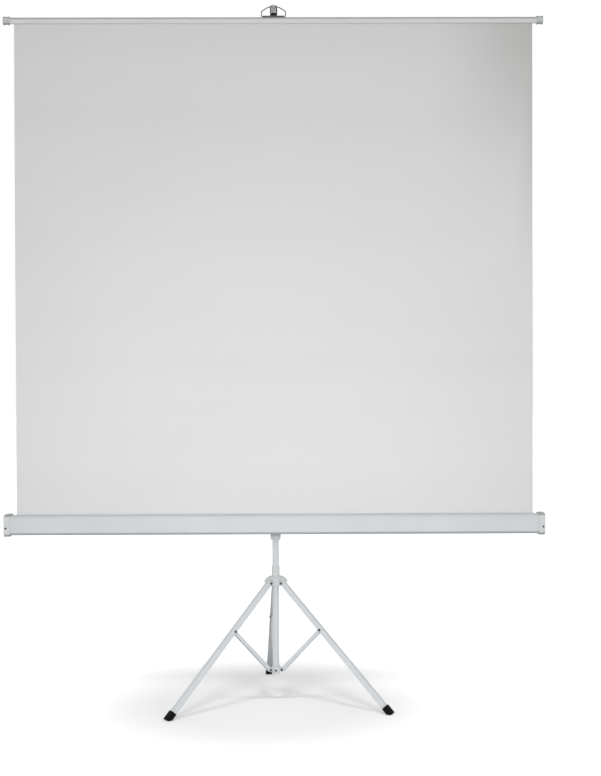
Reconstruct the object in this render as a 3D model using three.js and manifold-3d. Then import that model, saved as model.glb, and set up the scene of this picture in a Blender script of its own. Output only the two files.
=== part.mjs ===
// Tripod projection screen. A spring roller in a horizontal case holds the fabric, a wire bail hooks
// the top slat onto a telescopic pole, and a carriage holds the case on the mast of a folding tripod.
// Millimetres, +Z up, the screen faces -Y. The floor is z = 0.
import * as THREE from 'three';
import { mergeVertices } from 'three/addons/utils/BufferGeometryUtils.js';
import Module from 'manifold-3d';

const wasm = await Module();
wasm.setup();

// Driving dimensions

// Fits and facets
const GAP = 0.3; // clearance of a piece to its seat, guide or neighbour
const ROUND_SIDES = 20;
const SMALL_SIDES = 10;
const CORNER_STEPS = 3;
const WIRE_SIDES = 8;
const CHAMFER = 1;
const OVERRUN = 1; // how far a cutter runs past a face, and a joined piece into its neighbour
const DOME_FLAT = 0.6; // flat top of a domed head, as a share of its radius
const WELD = 1e-3; // vertices this near are one

// Mast and telescopic pole
const MAST_RADIUS = 9.5;
const MAST_WALL = 1.2;
const MAST_FOOT_Z = 86;
const MAST_TOP_Z = 1210;
const POLE_WALL = 1;
const POLE_FOOT_Z = 850;
const POLE_PLUG_DEPTH = 15;
const POLE_PLUG_FLANGE = 3.5;
const TOP_BUSH_WALL = 3;
const TOP_BUSH_GRIP = 22;
const TOP_BUSH_LIP = 8;

// Tripod: the crown pivots and the spider pivots lie at one radius, so each strut is as long as the
// stretch of leg above it and the two fold as an equal-sided scissor
const TRIPOD_TURN = THREE.MathUtils.degToRad(5);
const PIVOT_RADIUS = 22;
const CROWN_PIVOT_Z = 350;
const SPIDER_PIVOT_Z = 96;
const LEG_ANGLE = THREE.MathUtils.degToRad(44);
const LEG_WIDTH = 19.5;
const LEG_WALL = 1.4;
const LEG_INNER_REACH = 5; // from the pivot line to the open edges
const LEG_OUTER_REACH = 9; // from the pivot line to the outside of the web
const LEG_CORNER = 5;
const STRUT_WIDTH = 12;
const STRUT_WALL = 1.2;
const STRUT_HALF_DEPTH = 5.8;
const STRUT_CORNER = 2.4;
const STRUT_WEB_CUTBACK = 17;
const PIN_RADIUS = 2.2;
const PIN_HEAD_RADIUS = 3.9;
const PIN_HEAD_HEIGHT = 1.5;
const FOOT_WALL = 1.4;
const FOOT_LENGTH = 28;
const FOOT_SOLE = 9; // solid rubber past the end of the leg, before the sole is cut level
const FOOT_CORNER = 4.5;
const SOLE_CUT = 7; // depth of the level cut that makes the sole

// Crown and spider
const COLLAR_RADIUS = 11.9;
const COLLAR_TOP_Z = 399;
const CROWN_HUB_RADIUS = 16;
const CROWN_HUB_TOP_Z = 366;
const CROWN_HUB_FOOT_Z = 340;
const CROWN_LUG_REACH = 5;
const CROWN_SHOULDER = 5;
const HOOD_RADIUS = 31; // top of a crown arm, about a point inside the mast at the height of the hub's foot
const HOOD_OFFSET = 8; // that point's distance from the mast's axis
const HOOD_CLEARANCE = 0.8; // from an arm to the top of the leg that turns under it
const HOOD_START = THREE.MathUtils.degToRad(29);
const HOOD_STOP = THREE.MathUtils.degToRad(85);
const SPIDER_RADIUS = 11.9;
const SPIDER_TOP_Z = 106;
const SPIDER_FLOOR = 4;
const SPIDER_LUG_WIDTH = 8;
const SPIDER_LUG_REACH = 4.4;

// Fabric, slat and bail
const FABRIC_WIDTH = 1500;
const FABRIC_THICKNESS = 0.6;
const FABRIC_Y = -36;
const SLAT_Z = 1985;
const SLAT_RADIUS = 9.25;
const SLAT_WALL = 1.2;
const SLAT_OVERHANG = 30.5; // slat past each edge of the fabric
const SLAT_SLOT = 2.2;
const SLAT_TUCK = 4; // how far the fabric reaches into the slat
const SLAT_CAP_LENGTH = 18.5;
const SLAT_CAP_RADIUS = 12;
const SLAT_CAP_WAIST = 10.6;
const SLAT_CAP_END = 5;
const SLAT_CAP_RIM = 3.7;
const SADDLE_LENGTH = 62;
const SADDLE_WIDTH = 9;
const SADDLE_RISE = 4.6; // top of the saddle above the slat
const BAIL_WIRE_RADIUS = 1.3;
const BAIL_WIDTH = 70;
const BAIL_TOP_WIDTH = 27;
const BAIL_REACH = 40.5;
const BAIL_SIDE = 20;
const BAIL_STUB = 9;
const BAIL_BEND = 2;
const BAIL_LEAN = THREE.MathUtils.degToRad(33);
const BAIL_PIVOT_RISE = 2.4; // bail pivot above the slat

// Hook on the pole
const HOOK_WIDTH = 20.8;
const HOOK_PLUG_HEIGHT = 15;
const HOOK_PLUG_INSERT = 22;
const HOOK_FRONT_Y = -26;
const HOOK_CREST = 4;
const HOOK_CORNER = 5;
const HOOK_SEAT_SPARE = 2.4; // groove behind the wire

// Case and end caps
const CASE_OVERHANG = 30; // case past each edge of the fabric
const CASE_HEIGHT = 56.5;
const CASE_DEPTH = 50;
const CASE_FOOT_Z = 499;
const CASE_BACK_Y = -24;
const CASE_SHEET = 1;
const CASE_CORNER = 9;
const CASE_SLOT = 8;
const CAP_LENGTH = 19;
const CAP_PROUD = 3.75; // cap outside the case sheet
const CAP_ROUND = 3;
const CAP_PLATE = 3;
const CAP_BOSS_RADIUS = 9;
const CAP_BOSS_LENGTH = 12;
const CAP_SCREW_RADIUS = 1.5;
const CAP_SCREW_HEAD = 2.9;
const CAP_SCREW_HEAD_HEIGHT = 1.2;
const CAP_SCREW_LENGTH = 7.5;
const CAP_SCREW_INSET = 7;
const CAP_SCREW_DROP = 7; // below the middle of the case

// Spring roller
const ROLLER_RADIUS = 11;
const ROLLER_WALL = 1;
const ROLLER_PLAY = 3.7; // from each end of the roller to the boss of the cap
const WOUND_FABRIC = 1.3;
const ROLLER_PLUG_LENGTH = 20;
const ROLLER_PLUG_FLANGE = 3;
const GUDGEON_RADIUS = 4;
const GUDGEON_LENGTH = 30;
const ARBOR_LENGTH = 300;
const SPRING_WIRE_RADIUS = 0.8;
const SPRING_TURNS = 14;
const SPRING_LENGTH = 180;
const SPRING_STEPS = 8;
const SPRING_SIDES = 4;

// Carriage, swivel and lock screws
const CARRIAGE_WIDTH = 32;
const CARRIAGE_BACK_Y = 14;
const CARRIAGE_FRONT_Y = -20.4;
const CARRIAGE_CORNER = 6;
const CARRIAGE_HEIGHT = 57; // above the foot of the case
const SKIRT_FOOT_Z = 476;
const SKIRT_FOOT_RADIUS = 14.6;
const SKIRT_TOP_RADIUS = 15.8;
const SKIRT_DEPTH = 36; // room for the collar when the tripod is folded
const COLLAR_CLEARANCE = 0.7;
const SWIVEL_PLATE_WIDTH = 62;
const SWIVEL_PLATE_HEIGHT = 40;
const SWIVEL_PLATE_CORNER = 8;
const SWIVEL_BOLT_RADIUS = 4;
const SWIVEL_HEAD_RADIUS = 7;
const SWIVEL_HEAD_HEIGHT = 3.5;
const SWIVEL_BITE = 8; // depth of the bolt in the carriage
const LOCK_BOSS_RADIUS = 7.5;
const LOCK_BOSS_LENGTH = 8;
const LOCK_SHANK_RADIUS = 2.5;
const LOCK_KNOB_RADIUS = 11;
const LOCK_KNOB_LENGTH = 11;
const LOCK_LOBES = 6;
const LOCK_LOBE_STEPS = 6;
const LOCK_LOBE_DEPTH = 1.4;
const CARRIAGE_LOCK_DROP = 20; // below the carriage's top

// Materials
const paint = (name, colour, roughness, metalness) =>
  new THREE.MeshStandardMaterial({ name, color: colour, roughness, metalness });
const WHITE_PAINT = paint('white_paint', 0xdfe2e4, 0.42, 0.1);
const WHITE_PLASTIC = paint('white_plastic', 0xd6d9da, 0.5, 0);
const SCREEN_WHITE = paint('screen_white', 0xe9e9e7, 0.9, 0);
const BLACK_RUBBER = paint('black_rubber', 0x141414, 0.8, 0);
const BLACK_PLASTIC = paint('black_plastic', 0x101010, 0.25, 0);
const ZINC = paint('zinc', 0x9a9c9e, 0.3, 0.9);
const DARK_STEEL = paint('dark_steel', 0x4a4c4e, 0.4, 0.9);

// Solids

// A closed solid from a geometry, with its shared vertices merged and its faces pointing out
function solid(geometry) {
  const bare = geometry.clone();
  bare.deleteAttribute('normal');
  bare.deleteAttribute('uv');
  const merged = mergeVertices(bare, WELD);
  const points = merged.attributes.position.array;
  const index = merged.index.array;
  const corners = [];
  const at = (i) => new THREE.Vector3(points[3 * i], points[3 * i + 1], points[3 * i + 2]);
  let volume = 0;
  for (let i = 0; i < index.length; i += 3) {
    const [a, b, c] = [index[i], index[i + 1], index[i + 2]];
    if (a === b || b === c || c === a) continue;
    corners.push([a, b, c]);
    volume += at(a).dot(at(b).cross(at(c)));
  }
  const outward = volume < 0 ? corners.map(([a, b, c]) => [a, c, b]) : corners;
  return new wasm.Manifold(new wasm.Mesh({
    numProp: 3,
    vertProperties: new Float32Array(points),
    triVerts: new Uint32Array(outward.flat()),
  }));
}

const asSolid = (piece) => (piece.isBufferGeometry ? solid(piece) : piece);
const join = (first, ...rest) => rest.reduce((sum, piece) => sum.add(asSolid(piece)), asSolid(first));
const cut = (first, ...rest) => rest.reduce((sum, piece) => sum.subtract(asSolid(piece)), asSolid(first));
const common = (first, second) => asSolid(first).intersect(asSolid(second));

// A named mesh from a geometry or a solid
function piece(name, shape, material) {
  const { numProp, vertProperties, triVerts } = asSolid(shape).getMesh();
  const points = new Float32Array((vertProperties.length / numProp) * 3);
  for (let i = 0; i < points.length / 3; i += 1) {
    for (let k = 0; k < 3; k += 1) points[3 * i + k] = vertProperties[numProp * i + k];
  }
  const geometry = new THREE.BufferGeometry();
  geometry.setAttribute('position', new THREE.BufferAttribute(points, 3));
  geometry.setIndex(new THREE.BufferAttribute(new Uint32Array(triVerts), 1));
  geometry.computeVertexNormals();
  const mesh = new THREE.Mesh(geometry, material);
  mesh.name = name;
  return mesh;
}

// A box between two corners
function block(x0, x1, y0, y1, z0, z1) {
  const box = new THREE.BoxGeometry(x1 - x0, y1 - y0, z1 - z0);
  return box.translate((x0 + x1) / 2, (y0 + y1) / 2, (z0 + z1) / 2);
}

// A rod between two places on its own axis, 'x', 'y' or 'z'
function rod(axis, radius, from, to, sides = SMALL_SIDES) {
  const cylinder = new THREE.CylinderGeometry(radius, radius, to - from, sides);
  return alongAxis(cylinder.translate(0, (from + to) / 2, 0), axis);
}

// A turned shape from (radius, place) pairs, closed on itself or on its axis
function turned(axis, pairs, sides = ROUND_SIDES) {
  const onAxis = pairs[0][0] === 0 && pairs[pairs.length - 1][0] === 0;
  const loop = onAxis ? pairs : [...pairs, pairs[0]];
  const profile = loop.map(([radius, place]) => new THREE.Vector2(radius, place));
  return alongAxis(new THREE.LatheGeometry(profile, sides), axis);
}

// Turns a shape made about Y onto another axis, with +Y going to the axis's plus side
function alongAxis(geometry, axis) {
  if (axis === 'z') return geometry.rotateX(Math.PI / 2);
  if (axis === 'x') return geometry.rotateZ(-Math.PI / 2);
  return geometry;
}

// A pipe between two places on its axis
function pipe(axis, outer, inner, from, to, sides = ROUND_SIDES) {
  return turned(axis, [[inner, from], [outer, from], [outer, to], [inner, to]], sides);
}

// A rectangle with round corners about a middle
function roundedRect(width, height, corner, x = 0, y = 0) {
  const [left, right, foot, top] = [x - width / 2, x + width / 2, y - height / 2, y + height / 2];
  const shape = new THREE.Shape();
  shape.moveTo(left + corner, foot);
  shape.lineTo(right - corner, foot);
  shape.absarc(right - corner, foot + corner, corner, -Math.PI / 2, 0);
  shape.lineTo(right, top - corner);
  shape.absarc(right - corner, top - corner, corner, 0, Math.PI / 2);
  shape.lineTo(left + corner, top);
  shape.absarc(left + corner, top - corner, corner, Math.PI / 2, Math.PI);
  shape.lineTo(left, foot + corner);
  shape.absarc(left + corner, foot + corner, corner, Math.PI, 1.5 * Math.PI);
  return shape;
}

// Extrudes a shape drawn in (x, y) up from z0 to z1
function raised(shape, z0, z1, steps = CORNER_STEPS) {
  const options = { depth: z1 - z0, bevelEnabled: false, curveSegments: steps };
  return new THREE.ExtrudeGeometry(shape, options).translate(0, 0, z0);
}

// Extrudes a shape drawn in (x, z) from y0 to y1
function upright(shape, y0, y1, steps = CORNER_STEPS) {
  return raised(shape, -y1, -y0, steps).rotateX(Math.PI / 2);
}

// Extrudes a shape drawn in (y, z) from x0 to x1
function crosswise(shape, x0, x1, steps = CORNER_STEPS) {
  return raised(shape, x0, x1, steps).rotateX(Math.PI / 2).rotateZ(Math.PI / 2);
}

// The section of a channel that opens to -X, with its web at x = reach
function channelSection(innerReach, reach, width, wall, corner) {
  const half = width / 2;
  const bend = reach - corner;
  const shape = new THREE.Shape();
  shape.moveTo(-innerReach, -half);
  shape.lineTo(bend, -half);
  shape.absarc(bend, -half + corner, corner, -Math.PI / 2, 0);
  shape.lineTo(reach, half - corner);
  shape.absarc(bend, half - corner, corner, 0, Math.PI / 2);
  shape.lineTo(-innerReach, half);
  shape.lineTo(-innerReach, half - wall);
  shape.lineTo(bend, half - wall);
  shape.absarc(bend, half - corner, corner - wall, Math.PI / 2, 0, true);
  shape.lineTo(reach - wall, -half + corner);
  shape.absarc(bend, -half + corner, corner - wall, 0, -Math.PI / 2, true);
  shape.lineTo(-innerReach, -half + wall);
  return shape;
}

// A rivet along Y with domed heads, its shank spanning the given width
function rivet(span) {
  const seat = span / 2 + GAP;
  const top = seat + PIN_HEAD_HEIGHT;
  const dome = PIN_HEAD_RADIUS * DOME_FLAT;
  return turned('y', [
    [0, -top], [dome, -top], [PIN_HEAD_RADIUS, -seat - PIN_HEAD_HEIGHT / 3], [PIN_HEAD_RADIUS, -seat],
    [PIN_RADIUS, -seat], [PIN_RADIUS, seat],
    [PIN_HEAD_RADIUS, seat], [PIN_HEAD_RADIUS, seat + PIN_HEAD_HEIGHT / 3], [dome, top], [0, top],
  ], SMALL_SIDES);
}

// A thumb screw along +Y from its tip, with a lobed knob outside the boss
function thumbScrew(tipY, bossY) {
  const outline = new THREE.Shape();
  const points = LOCK_LOBES * LOCK_LOBE_STEPS;
  for (let i = 0; i < points; i += 1) {
    const turn = (2 * Math.PI * i) / points;
    const radius = LOCK_KNOB_RADIUS - (LOCK_LOBE_DEPTH / 2) * (1 - Math.cos(LOCK_LOBES * turn));
    const place = [radius * Math.cos(turn), radius * Math.sin(turn)];
    if (i === 0) outline.moveTo(...place);
    else outline.lineTo(...place);
  }
  const knobY = bossY + GAP;
  const shank = rod('y', LOCK_SHANK_RADIUS, tipY, knobY + LOCK_KNOB_LENGTH / 2);
  return join(upright(outline, knobY, knobY + LOCK_KNOB_LENGTH), shank);
}

// Sizes that follow from the driving ones
const CASE_LENGTH = FABRIC_WIDTH + 2 * CASE_OVERHANG;
const SLAT_LENGTH = FABRIC_WIDTH + 2 * SLAT_OVERHANG;
const MAST_BORE = MAST_RADIUS - MAST_WALL;
const POLE_RADIUS = MAST_BORE - GAP;
const POLE_BORE = POLE_RADIUS - POLE_WALL;
const GUIDE_RADIUS = MAST_RADIUS + GAP;
const SCISSOR_LENGTH = (CROWN_PIVOT_Z - SPIDER_PIVOT_Z) / (2 * Math.cos(LEG_ANGLE));
const LEG_INNER_WIDTH = LEG_WIDTH - 2 * LEG_WALL;
const PIN_HOLE = PIN_RADIUS + GAP;
const CASE_MIDDLE_Z = CASE_FOOT_Z + CASE_HEIGHT / 2;
const CARRIAGE_TOP_Z = CASE_FOOT_Z + CARRIAGE_HEIGHT;
const CARRIAGE_LOCK_Z = CARRIAGE_TOP_Z - CARRIAGE_LOCK_DROP;
const CASE_MIDDLE_Y = CASE_BACK_Y - CASE_DEPTH / 2;
const ROLL_RADIUS = ROLLER_RADIUS + GAP + WOUND_FABRIC;
const ROLL_Y = FABRIC_Y - FABRIC_THICKNESS / 2 - GAP - ROLL_RADIUS;
const ROLLER_END = CASE_LENGTH / 2 - CAP_PLATE - CAP_BOSS_LENGTH - ROLLER_PLAY;
const ROLLER_HALF = ROLLER_END - ROLLER_PLUG_FLANGE - GAP;
const BAIL_PIVOT_Z = SLAT_Z + SLAT_RADIUS + BAIL_PIVOT_RISE;
const POLE_TOP_Z = SLAT_Z + SLAT_RADIUS + GAP;
const HOOK_FOOT_Z = POLE_TOP_Z + GAP + HOOK_PLUG_HEIGHT + GAP;
const WIRE_PATH = BAIL_REACH - BAIL_WIRE_RADIUS - GAP;

const screen = new THREE.Group();

// Mast, its spider and its top bush

function addMast() {
  const lockZ = MAST_TOP_Z - TOP_BUSH_GRIP / 2;
  const bushRadius = GUIDE_RADIUS + TOP_BUSH_WALL;
  const bossY = bushRadius + LOCK_BOSS_LENGTH;
  const lockHole = rod('y', LOCK_SHANK_RADIUS + GAP, 0, 2 * bossY).translate(0, 0, lockZ);
  const tube = pipe('z', MAST_RADIUS, MAST_BORE, MAST_FOOT_Z, MAST_TOP_Z);
  screen.add(piece('mast_tube', cut(tube, lockHole), WHITE_PAINT));

  const bushTop = MAST_TOP_Z + GAP + TOP_BUSH_LIP;
  const bush = turned('z', [
    [GUIDE_RADIUS, MAST_TOP_Z - TOP_BUSH_GRIP], [bushRadius, MAST_TOP_Z - TOP_BUSH_GRIP],
    [bushRadius, bushTop - TOP_BUSH_WALL], [bushRadius - TOP_BUSH_WALL, bushTop],
    [MAST_BORE, bushTop], [MAST_BORE, MAST_TOP_Z + GAP], [GUIDE_RADIUS, MAST_TOP_Z + GAP],
  ]);
  const boss = rod('y', LOCK_BOSS_RADIUS, GUIDE_RADIUS + TOP_BUSH_WALL / 2, bossY).translate(0, 0, lockZ);
  const bore = rod('z', GUIDE_RADIUS, MAST_TOP_Z - 2 * TOP_BUSH_GRIP, MAST_TOP_Z, ROUND_SIDES);
  screen.add(piece('mast_top_bush', cut(join(bush, boss), bore, lockHole), WHITE_PLASTIC));

  const screw = thumbScrew(POLE_RADIUS + GAP, bossY).translate(0, 0, lockZ);
  screen.add(piece('pole_lock_screw', screw, BLACK_PLASTIC));
}

const LEG_PLACES = [
  { side: 'left', azimuth: THREE.MathUtils.degToRad(210) + TRIPOD_TURN },
  { side: 'right', azimuth: THREE.MathUtils.degToRad(330) + TRIPOD_TURN },
  { side: 'rear', azimuth: THREE.MathUtils.degToRad(90) + TRIPOD_TURN },
];

const aroundMast = (shape) => LEG_PLACES.map(({ azimuth }) => (
  shape.rotate([0, 0, THREE.MathUtils.radToDeg(azimuth)])
));

// Three lugs round the axis, each a plate with a round end about its pivot
function lugs(width, reach, footZ, topZ, pivotZ) {
  const shape = new THREE.Shape();
  shape.moveTo(GUIDE_RADIUS + GAP, footZ);
  shape.lineTo(PIVOT_RADIUS, footZ);
  shape.lineTo(PIVOT_RADIUS, pivotZ - reach);
  shape.absarc(PIVOT_RADIUS, pivotZ, reach, -Math.PI / 2, Math.PI / 2);
  shape.lineTo(GUIDE_RADIUS + GAP, topZ);
  const hole = rod('y', PIN_HOLE, -width, width).translate(PIVOT_RADIUS, 0, pivotZ);
  return aroundMast(cut(upright(shape, -width / 2, width / 2), hole));
}

// The crown's arched arms, each over the top of a leg and hollowed underneath for its turning end
function hoods() {
  const hollow = LEG_OUTER_REACH + HOOD_CLEARANCE;
  const downLeg = new THREE.Vector2(Math.sin(LEG_ANGLE), -Math.cos(LEG_ANGLE));
  const onArch = (angle) => new THREE.Vector2(
    HOOD_OFFSET + HOOD_RADIUS * Math.cos(angle),
    CROWN_HUB_FOOT_Z + HOOD_RADIUS * Math.sin(angle),
  );
  const overLeg = new THREE.Vector2(
    PIVOT_RADIUS + hollow * Math.cos(LEG_ANGLE),
    CROWN_PIVOT_Z + hollow * Math.sin(LEG_ANGLE),
  );
  const reach = onArch(HOOD_START).sub(overLeg).dot(downLeg);
  const eave = overLeg.clone().addScaledVector(downLeg, reach);
  const arm = new THREE.Shape();
  arm.absarc(HOOD_OFFSET, CROWN_HUB_FOOT_Z, HOOD_RADIUS, HOOD_START, HOOD_STOP);
  arm.lineTo(onArch(HOOD_STOP).x, CROWN_PIVOT_Z);
  arm.absarc(PIVOT_RADIUS, CROWN_PIVOT_Z, hollow, Math.PI, LEG_ANGLE, true);
  arm.lineTo(eave.x, eave.y);
  return aroundMast(asSolid(upright(arm, -LEG_WIDTH / 2, LEG_WIDTH / 2, 2 * CORNER_STEPS)));
}

function addSpider() {
  const floorZ = MAST_FOOT_Z - GAP;
  const cup = turned('z', [
    [0, floorZ - SPIDER_FLOOR], [SPIDER_RADIUS - 2 * CHAMFER, floorZ - SPIDER_FLOOR],
    [SPIDER_RADIUS, floorZ - SPIDER_FLOOR + 2 * CHAMFER], [SPIDER_RADIUS, SPIDER_TOP_Z],
    [GUIDE_RADIUS, SPIDER_TOP_Z], [GUIDE_RADIUS, floorZ], [0, floorZ],
  ]);
  const arms = lugs(SPIDER_LUG_WIDTH, SPIDER_LUG_REACH, SPIDER_PIVOT_Z - SPIDER_LUG_REACH,
    SPIDER_PIVOT_Z + 2 * SPIDER_LUG_REACH, SPIDER_PIVOT_Z);
  screen.add(piece('spider_hub', join(cup, ...arms), WHITE_PLASTIC));
}

function addCrown() {
  const hub = turned('z', [
    [GUIDE_RADIUS, CROWN_HUB_FOOT_Z], [CROWN_HUB_RADIUS - CHAMFER, CROWN_HUB_FOOT_Z],
    [CROWN_HUB_RADIUS, CROWN_HUB_FOOT_Z + CHAMFER], [CROWN_HUB_RADIUS, CROWN_HUB_TOP_Z - CROWN_SHOULDER],
    [COLLAR_RADIUS, CROWN_HUB_TOP_Z], [COLLAR_RADIUS, COLLAR_TOP_Z - CHAMFER],
    [COLLAR_RADIUS - CHAMFER, COLLAR_TOP_Z], [GUIDE_RADIUS, COLLAR_TOP_Z],
  ]);
  const width = LEG_INNER_WIDTH - 2 * GAP;
  const arms = lugs(width, CROWN_LUG_REACH, CROWN_HUB_FOOT_Z + 2 * CHAMFER,
    CROWN_HUB_TOP_Z - CROWN_SHOULDER - CHAMFER, CROWN_PIVOT_Z);
  const bore = rod('z', GUIDE_RADIUS, CROWN_HUB_FOOT_Z - OVERRUN, COLLAR_TOP_Z + OVERRUN, ROUND_SIDES);
  screen.add(piece('crown_hub', cut(join(hub, ...arms, ...hoods()), bore), WHITE_PLASTIC));
}

// A leg hanging down from its pivot at the origin, web to +X
function legSolid(length) {
  const section = channelSection(LEG_INNER_REACH, LEG_OUTER_REACH, LEG_WIDTH, LEG_WALL, LEG_CORNER);
  const depth = LEG_INNER_REACH + LEG_OUTER_REACH;
  const middle = (LEG_OUTER_REACH - LEG_INNER_REACH) / 2;
  const channel = raised(section, -length, depth);
  const side = new THREE.Shape();
  side.moveTo(-LEG_INNER_REACH, -length - OVERRUN);
  side.lineTo(LEG_OUTER_REACH, -length - OVERRUN);
  side.lineTo(LEG_OUTER_REACH, 0);
  side.absarc(middle, 0, depth / 2, 0, Math.PI);
  const trimmed = common(channel, upright(side, -LEG_WIDTH, LEG_WIDTH, 2 * CORNER_STEPS));
  const holes = [0, -SCISSOR_LENGTH].map((z) =>
    rod('y', PIN_HOLE, -LEG_WIDTH, LEG_WIDTH).translate(0, 0, z));
  return cut(trimmed, ...holes);
}

// A rubber cap round the end of a leg, cut level where it stands on the floor
function footSolid(legEnd) {
  const depth = LEG_INNER_REACH + LEG_OUTER_REACH + 2 * (GAP + FOOT_WALL);
  const width = LEG_WIDTH + 2 * (GAP + FOOT_WALL);
  const middle = (LEG_OUTER_REACH - LEG_INNER_REACH) / 2;
  const foot = -legEnd - FOOT_SOLE;
  const body = raised(roundedRect(depth, width, FOOT_CORNER, middle), foot, foot + FOOT_LENGTH);
  const socket = roundedRect(depth - 2 * FOOT_WALL, width - 2 * FOOT_WALL, GAP, middle);
  const pocket = raised(socket, -legEnd - GAP, foot + 2 * FOOT_LENGTH);
  const floor = block(-2 * legEnd, 2 * legEnd, -width, width, -2 * legEnd, 0);
  floor.translate(0, 0, -CROWN_PIVOT_Z).rotateY(LEG_ANGLE);
  return cut(body, pocket, floor);
}

// A strut standing on its spider pivot at the origin, web to -X, its foot forked over the spider's lug
function strutSolid() {
  const section = channelSection(STRUT_HALF_DEPTH, STRUT_HALF_DEPTH, STRUT_WIDTH, STRUT_WALL, STRUT_CORNER);
  const reach = SCISSOR_LENGTH + STRUT_HALF_DEPTH;
  const channel = raised(section, -STRUT_HALF_DEPTH, reach).rotateZ(Math.PI);
  const side = new THREE.Shape();
  side.moveTo(STRUT_HALF_DEPTH, 0);
  side.lineTo(STRUT_HALF_DEPTH, SCISSOR_LENGTH);
  side.absarc(0, SCISSOR_LENGTH, STRUT_HALF_DEPTH, 0, Math.PI);
  side.lineTo(-STRUT_HALF_DEPTH, 0);
  side.absarc(0, 0, STRUT_HALF_DEPTH, Math.PI, 2 * Math.PI);
  const trimmed = common(channel, upright(side, -STRUT_WIDTH, STRUT_WIDTH));
  const fork = STRUT_WIDTH / 2 - STRUT_WALL;
  const mouth = block(-2 * STRUT_HALF_DEPTH, 0, -fork, fork, -2 * STRUT_HALF_DEPTH, STRUT_WEB_CUTBACK);
  const holes = [0, SCISSOR_LENGTH].map((z) =>
    rod('y', PIN_HOLE, -STRUT_WIDTH, STRUT_WIDTH).translate(0, 0, z));
  return cut(trimmed, mouth, ...holes);
}

function addTripod() {
  addSpider();
  addCrown();
  const edgeDrop = (LEG_INNER_REACH + GAP + FOOT_WALL) * Math.sin(LEG_ANGLE);
  const legEnd = (CROWN_PIVOT_Z - edgeDrop + SOLE_CUT) / Math.cos(LEG_ANGLE) - FOOT_SOLE;
  for (const { side, azimuth } of LEG_PLACES) {
    const turn = new THREE.Group();
    turn.rotation.z = azimuth;
    const leg = new THREE.Group();
    leg.position.set(PIVOT_RADIUS, 0, CROWN_PIVOT_Z);
    leg.rotation.y = -LEG_ANGLE;
    leg.add(piece(`leg_${side}`, legSolid(legEnd), WHITE_PAINT));
    leg.add(piece(`foot_${side}`, footSolid(legEnd), BLACK_RUBBER));
    leg.add(piece(`crown_rivet_${side}`, rivet(LEG_WIDTH), DARK_STEEL));
    const braceRivet = piece(`brace_rivet_${side}`, rivet(LEG_WIDTH), DARK_STEEL);
    braceRivet.position.z = -SCISSOR_LENGTH;
    leg.add(braceRivet);
    const strut = new THREE.Group();
    strut.position.set(PIVOT_RADIUS, 0, SPIDER_PIVOT_Z);
    strut.rotation.y = LEG_ANGLE;
    strut.add(piece(`strut_${side}`, strutSolid(), WHITE_PAINT));
    strut.add(piece(`spider_rivet_${side}`, rivet(STRUT_WIDTH), DARK_STEEL));
    turn.add(leg, strut);
    screen.add(turn);
  }
}

// Carriage on the mast, with its lock screw and the swivel that carries the case

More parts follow.
